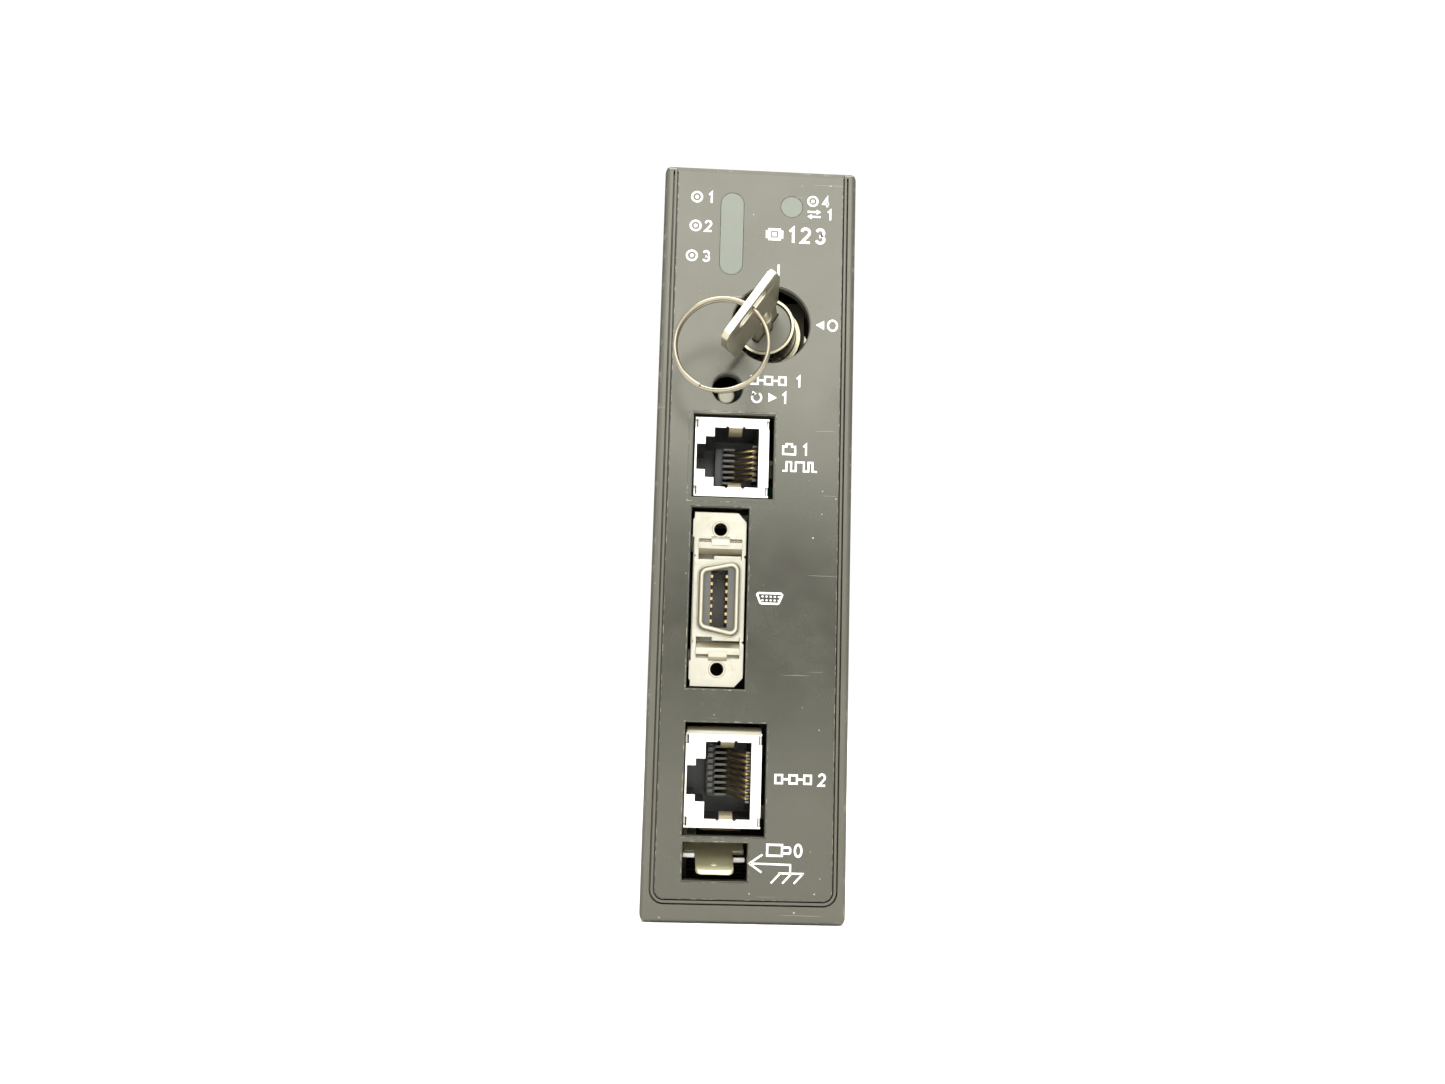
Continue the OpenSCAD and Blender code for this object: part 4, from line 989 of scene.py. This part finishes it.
def aux_shell():
    """Sleeve of the connector with a rolled lip, and the skirt pressed up round it."""
    sleeve = plate_mesh([mouth(0.02), mouth(0.42)], 9.0, aux_front(-0.95), 0.08, 2)
    lip = tube_mesh(mouth(0.3), 0.42, aux_front(-0.78), 4, cyclic=True)
    skirt = tube_mesh(mouth(-0.25), 0.16, aux_front(-0.02), 2, cyclic=True)
    add_piece("aux_shell_look", [sleeve, lip, skirt], satin_nickel, MODULE, ["aux_shell"])


aux_bracket()
aux_shell()

# -------------------- ground tab
TAB_W = 6.35
TAB_T = 0.8
TAB_L = 7.6
TAB_TILT = math.radians(17)
STRAP_W = 10.4
STRAP_L = 6
# Cut ends of the strap that show beside the blade: from x to x, at z
STRAP_ENDS = ((-10.1, -8.1, -54.85), (-1.5, 0.45, -55.5))
FOOT_AT = (-9.3, -105, -54.5)
# Ring raised round a small hollow in the blade, as radius and depth
DIMPLE = [(0.0, -0.02), (0.22, -0.03), (0.36, -0.13), (0.5, -0.13), (0.62, 0.0), (0.62, 0.2), (0.0, 0.2)]


def ground_tab():
    """Blade of the ground tab, the cut ends of its strap, white with a painted highlight, and its foot on the
    board.
    """
    quarter_turn = Matrix.Rotation(math.radians(90), 4, "X")
    # here x runs across, y out along the blade, z down through its thickness
    flat = front(-4.8, -56.9, 0.5) @ Matrix.Rotation(TAB_TILT, 4, "X") @ quarter_turn
    right = [(TAB_W / 2, 0), (TAB_W / 2, -TAB_L), (STRAP_W / 2, -TAB_L), (STRAP_W / 2, -TAB_L - STRAP_L)]
    outline = [(-u, v) for u, v in reversed(right)] + right
    radii = [0.2, 0.2, 0.3, 1.1, 1.1, 0.3, 0.2, 0.2]
    middle = flat @ Matrix.Translation((0, 0, TAB_T / 2))
    blade = plate_mesh([fillet(outline, radii, 6)], TAB_T, middle, 0.14, 3)
    dimple = lathe_mesh(DIMPLE, flat @ Matrix.Translation((-0.1, -2.4, -TAB_T / 2)), 32)
    ends = [plate_mesh([rect(x0, z - 0.36, x1, z + 0.36)], 1.2, front(0, 0, 5.4), 0.1, 1)
            for x0, x1, z in STRAP_ENDS]
    foot = plate_mesh([rect(-13, -4, 4, 4), circle(0, 0, 1.5, 28)], 1.0,
                      axes(FOOT_AT, (0, 1, 0), (0, 0, 1), (1, 0, 0)), 0.08, 1)
    # the strap's cut ends carry a painted highlight
    add_piece("ground_strap_edges", ends, painted_highlight_steel, MODULE)
    add_piece("ground_tab_look", [blade, dimple], tab_nickel, MODULE, ["ground_tab"])
    add_piece("ground_foot_look", [foot], dark_steel, MODULE)


ground_tab()

# -------------------- key and ring
KEY_T = 1.3
BOW_Z = 5.6  # the bow's inner end, out of the lock's rim
BOW_H = 13.0
BOW_SHIFT = -2.5
SLOT_R = 1.1
SLOT_MID = BOW_Z + BOW_H - 2.2
# Shoulder between bow and blade, as radius and distance out of the lock's rim
SHOULDER = [(0.0, -2.0), (1.2, -2.0), (1.2, 4.2), (1.45, 4.5), (1.45, 5.3),
            (1.2, 5.6), (1.0, 7.4), (0.6, 8.0), (0.0, 8.0)]
key_place = lock_frame(KEY_ANGLE)


def key():
    """Flat bow with eight corners and a slot, the turned shoulder, and the blade."""
    half = [(6, 0), (7.35, 8.6), (6.85, 12.2), (5.8, BOW_H)]
    bow = fillet([(-6, 0)] + half + [(-u, v) for u, v in reversed(half[1:])],
                 [0.8, 0.8, 1.2, 0.7, 0.7, 0.7, 0.7, 1.2], 5)
    bow = [(u + BOW_SHIFT, v + BOW_Z) for u, v in bow]
    slot = circle(BOW_SHIFT + 2.5, SLOT_MID, SLOT_R, 14, -math.pi / 2, math.pi / 2)
    slot += circle(BOW_SHIFT - 2.5, SLOT_MID, SLOT_R, 14, math.pi / 2, 3 * math.pi / 2)
    upright = key_place @ Matrix.Rotation(math.radians(90), 4, "X") @ Matrix.Translation((0, 0, KEY_T / 2))
    blade = fillet(rect(-3.0, -0.55, 3.0, 0.55), 0.15, 3)
    meshes = [
        plate_mesh([bow, slot], KEY_T, upright, 0.16, 3),
        lathe_mesh(SHOULDER, key_place, 40, False),
        plate_mesh([blade], 16.2, key_place @ Matrix.Translation((0, 0, 5.7)), 0.1, 1),
    ]
    add_piece("key_look", meshes, bright_nickel, "key", ["key"])


RING_R = 7.6
RING_WIRE_R = 0.35
RING_LIFT = 0.85  # from the middle of one turn's wire to the next
TURN_STEPS = 96


def key_ring():
    """Split ring: two turns of wire in two planes, with a short smooth step from one to the other."""
    points = []
    for i in range(2, 2 * TURN_STEPS - 2):
        a = 2 * math.pi * i / TURN_STEPS + math.radians(200)
        step = max(0.0, min(1.0, (i / (2 * TURN_STEPS) - 0.5) * 9 + 0.5))
        step = step * step * (3 - 2 * step)
        points.append((RING_R * math.cos(a) + BOW_SHIFT - RING_R, RING_R * math.sin(a),
                       SLOT_MID + RING_LIFT * (step - 0.5)))
    wire = tube_mesh(points, RING_WIRE_R, key_place, 4)
    add_piece("key_ring_look", [wire], ring_nickel, "key_ring", ["key_ring"])


key()
key_ring()

# -------------------- lever spring
COIL_R = 1.8
COIL_WIRE_R = 0.25
COIL_TURNS = 6
COIL_STEPS = 20
COIL_Y = -20
COIL_BOTTOM = -62.1
COIL_H = 5.35


def lever_spring():
    """Coil that the release lever squashes."""
    points = []
    for i in range(COIL_TURNS * COIL_STEPS + 1):
        t = i / (COIL_TURNS * COIL_STEPS)
        a = 2 * math.pi * COIL_TURNS * t
        points.append((COIL_R * math.cos(a), COIL_Y + COIL_R * math.sin(a), COIL_BOTTOM + COIL_H * t))
    coil = tube_mesh(points, COIL_WIRE_R, Matrix.Scale(S, 4), 2)
    spring = add_piece("lever_spring_look", [coil], zinc, MODULE, ["lever_spring"])
    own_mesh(spring)


lever_spring()

# -------------------- floor
FLOOR_HALF = 4.0  # metres
floor_z = cad_box[0][2]
floor_mesh = bpy.data.meshes.new("floor")
floor_mesh.from_pydata([(x, y, floor_z) for x, y in rect(-FLOOR_HALF, -FLOOR_HALF, FLOOR_HALF, FLOOR_HALF)],
                       [], [(0, 1, 2, 3)])
floor = bpy.data.objects.new("floor", floor_mesh)
bpy.context.scene.collection.objects.link(floor)
floor_mesh.materials.append(make_floor())

# -------------------- world
PATCH = (0.27, 0.11)  # half width and half height of the dim patch ahead of the face, as directions
BACKDROP = 1.06


def studio_world():
    """Bright all round, with a dimmer patch straight ahead of the face, as a camera makes in a light tent."""
    world = bpy.data.worlds.new("studio")
    bpy.context.scene.world = world
    world.use_nodes = True
    tree = world.node_tree

    def add(kind, *values, op=None):
        node = tree.nodes.new("ShaderNode" + kind)
        if op:
            node.operation = op
        for socket, v in zip(node.inputs, values):
            if hasattr(v, "is_output"):
                tree.links.new(v, socket)
            else:
                socket.default_value = v
        return node

    def calc(op, a, b):
        return add("Math", a, b, op=op).outputs[0]

    def switch(fac, one, other):
        """one where fac is 1, other where it is 0."""
        return calc("ADD", calc("MULTIPLY", other, calc("SUBTRACT", 1.0, fac)), calc("MULTIPLY", fac, one))

    direction = add("SeparateXYZ", tree.nodes.new("ShaderNodeTexCoord").outputs["Generated"]).outputs
    across, up = (calc("DIVIDE", direction[axis], half) for axis, half in zip(("X", "Z"), PATCH))
    off = calc("ADD", calc("MULTIPLY", across, across), calc("MULTIPLY", up, up))
    ahead = add("MapRange", off, 0.45, 1.7, 0.02, 1.25).outputs[0]
    behind = add("MapRange", direction["Y"], -0.1, 0.1, 0.0, 1.0).outputs[0]
    # the backdrop itself is plain: the dim patch is only met by light that comes off the object
    seen = tree.nodes.new("ShaderNodeLightPath").outputs["Is Camera Ray"]
    background = tree.nodes["Background"].inputs
    tree.links.new(switch(seen, BACKDROP, switch(behind, BACKDROP, ahead)), background["Strength"])
    background["Color"].default_value = (1.0, 0.995, 0.97, 1)


studio_world()


# -------------------- lights
def softbox(name, at, target, size, power, color=(1, 1, 1)):
    """Rectangular area light in metres, aimed at a target."""
    data = bpy.data.lights.new(name, "AREA")
    data.shape = "RECTANGLE"
    data.size, data.size_y = size
    data.energy = power
    data.color = color
    obj = bpy.data.objects.new(name, data)
    bpy.context.scene.collection.objects.link(obj)
    obj.location = at
    obj.rotation_euler = (Vector(target) - Vector(at)).to_track_quat("-Z", "Y").to_euler()


softbox("softbox_front", (0.03, -0.62, 0.23), (0, -0.13, 0.0), (0.5, 0.28), 1.9)
softbox("softbox_left", (-0.55, -0.5, 0.1), (0, -0.12, 0), (0.4, 0.5), 1.0, (1, 0.99, 0.96))
softbox("floor_fill", (0.0, -0.36, 0.9), (0, -0.34, -0.065), (1.0, 0.6), 18.0)

# -------------------- camera
SENSOR_W = 36
LENS = 28.9
CAMERA_AT = (-13.1, -326.0, -26.1)
CAMERA_TURN = (-7.03, 2.33, -1.91)  # degrees of pitch, yaw and roll from a level look along +Y

camera_data = bpy.data.cameras.new("camera")
camera_data.sensor_width = SENSOR_W
camera_data.lens = LENS
camera_data.clip_start = 0.01
camera = bpy.data.objects.new("camera", camera_data)
bpy.context.scene.collection.objects.link(camera)
pitch, yaw, roll = (math.radians(a) for a in CAMERA_TURN)
level = Matrix(((1, 0, 0), (0, 0, 1), (0, -1, 0)))
turned = Matrix.Rotation(roll, 3, "Z") @ Matrix.Rotation(yaw, 3, "Y") @ Matrix.Rotation(pitch, 3, "X")
to_camera = turned @ level
camera.matrix_world = Matrix.Translation(Vector(CAMERA_AT) * S) @ to_camera.transposed().to_4x4()
bpy.context.scene.camera = camera
bpy.context.scene.view_settings.view_transform = "Standard"
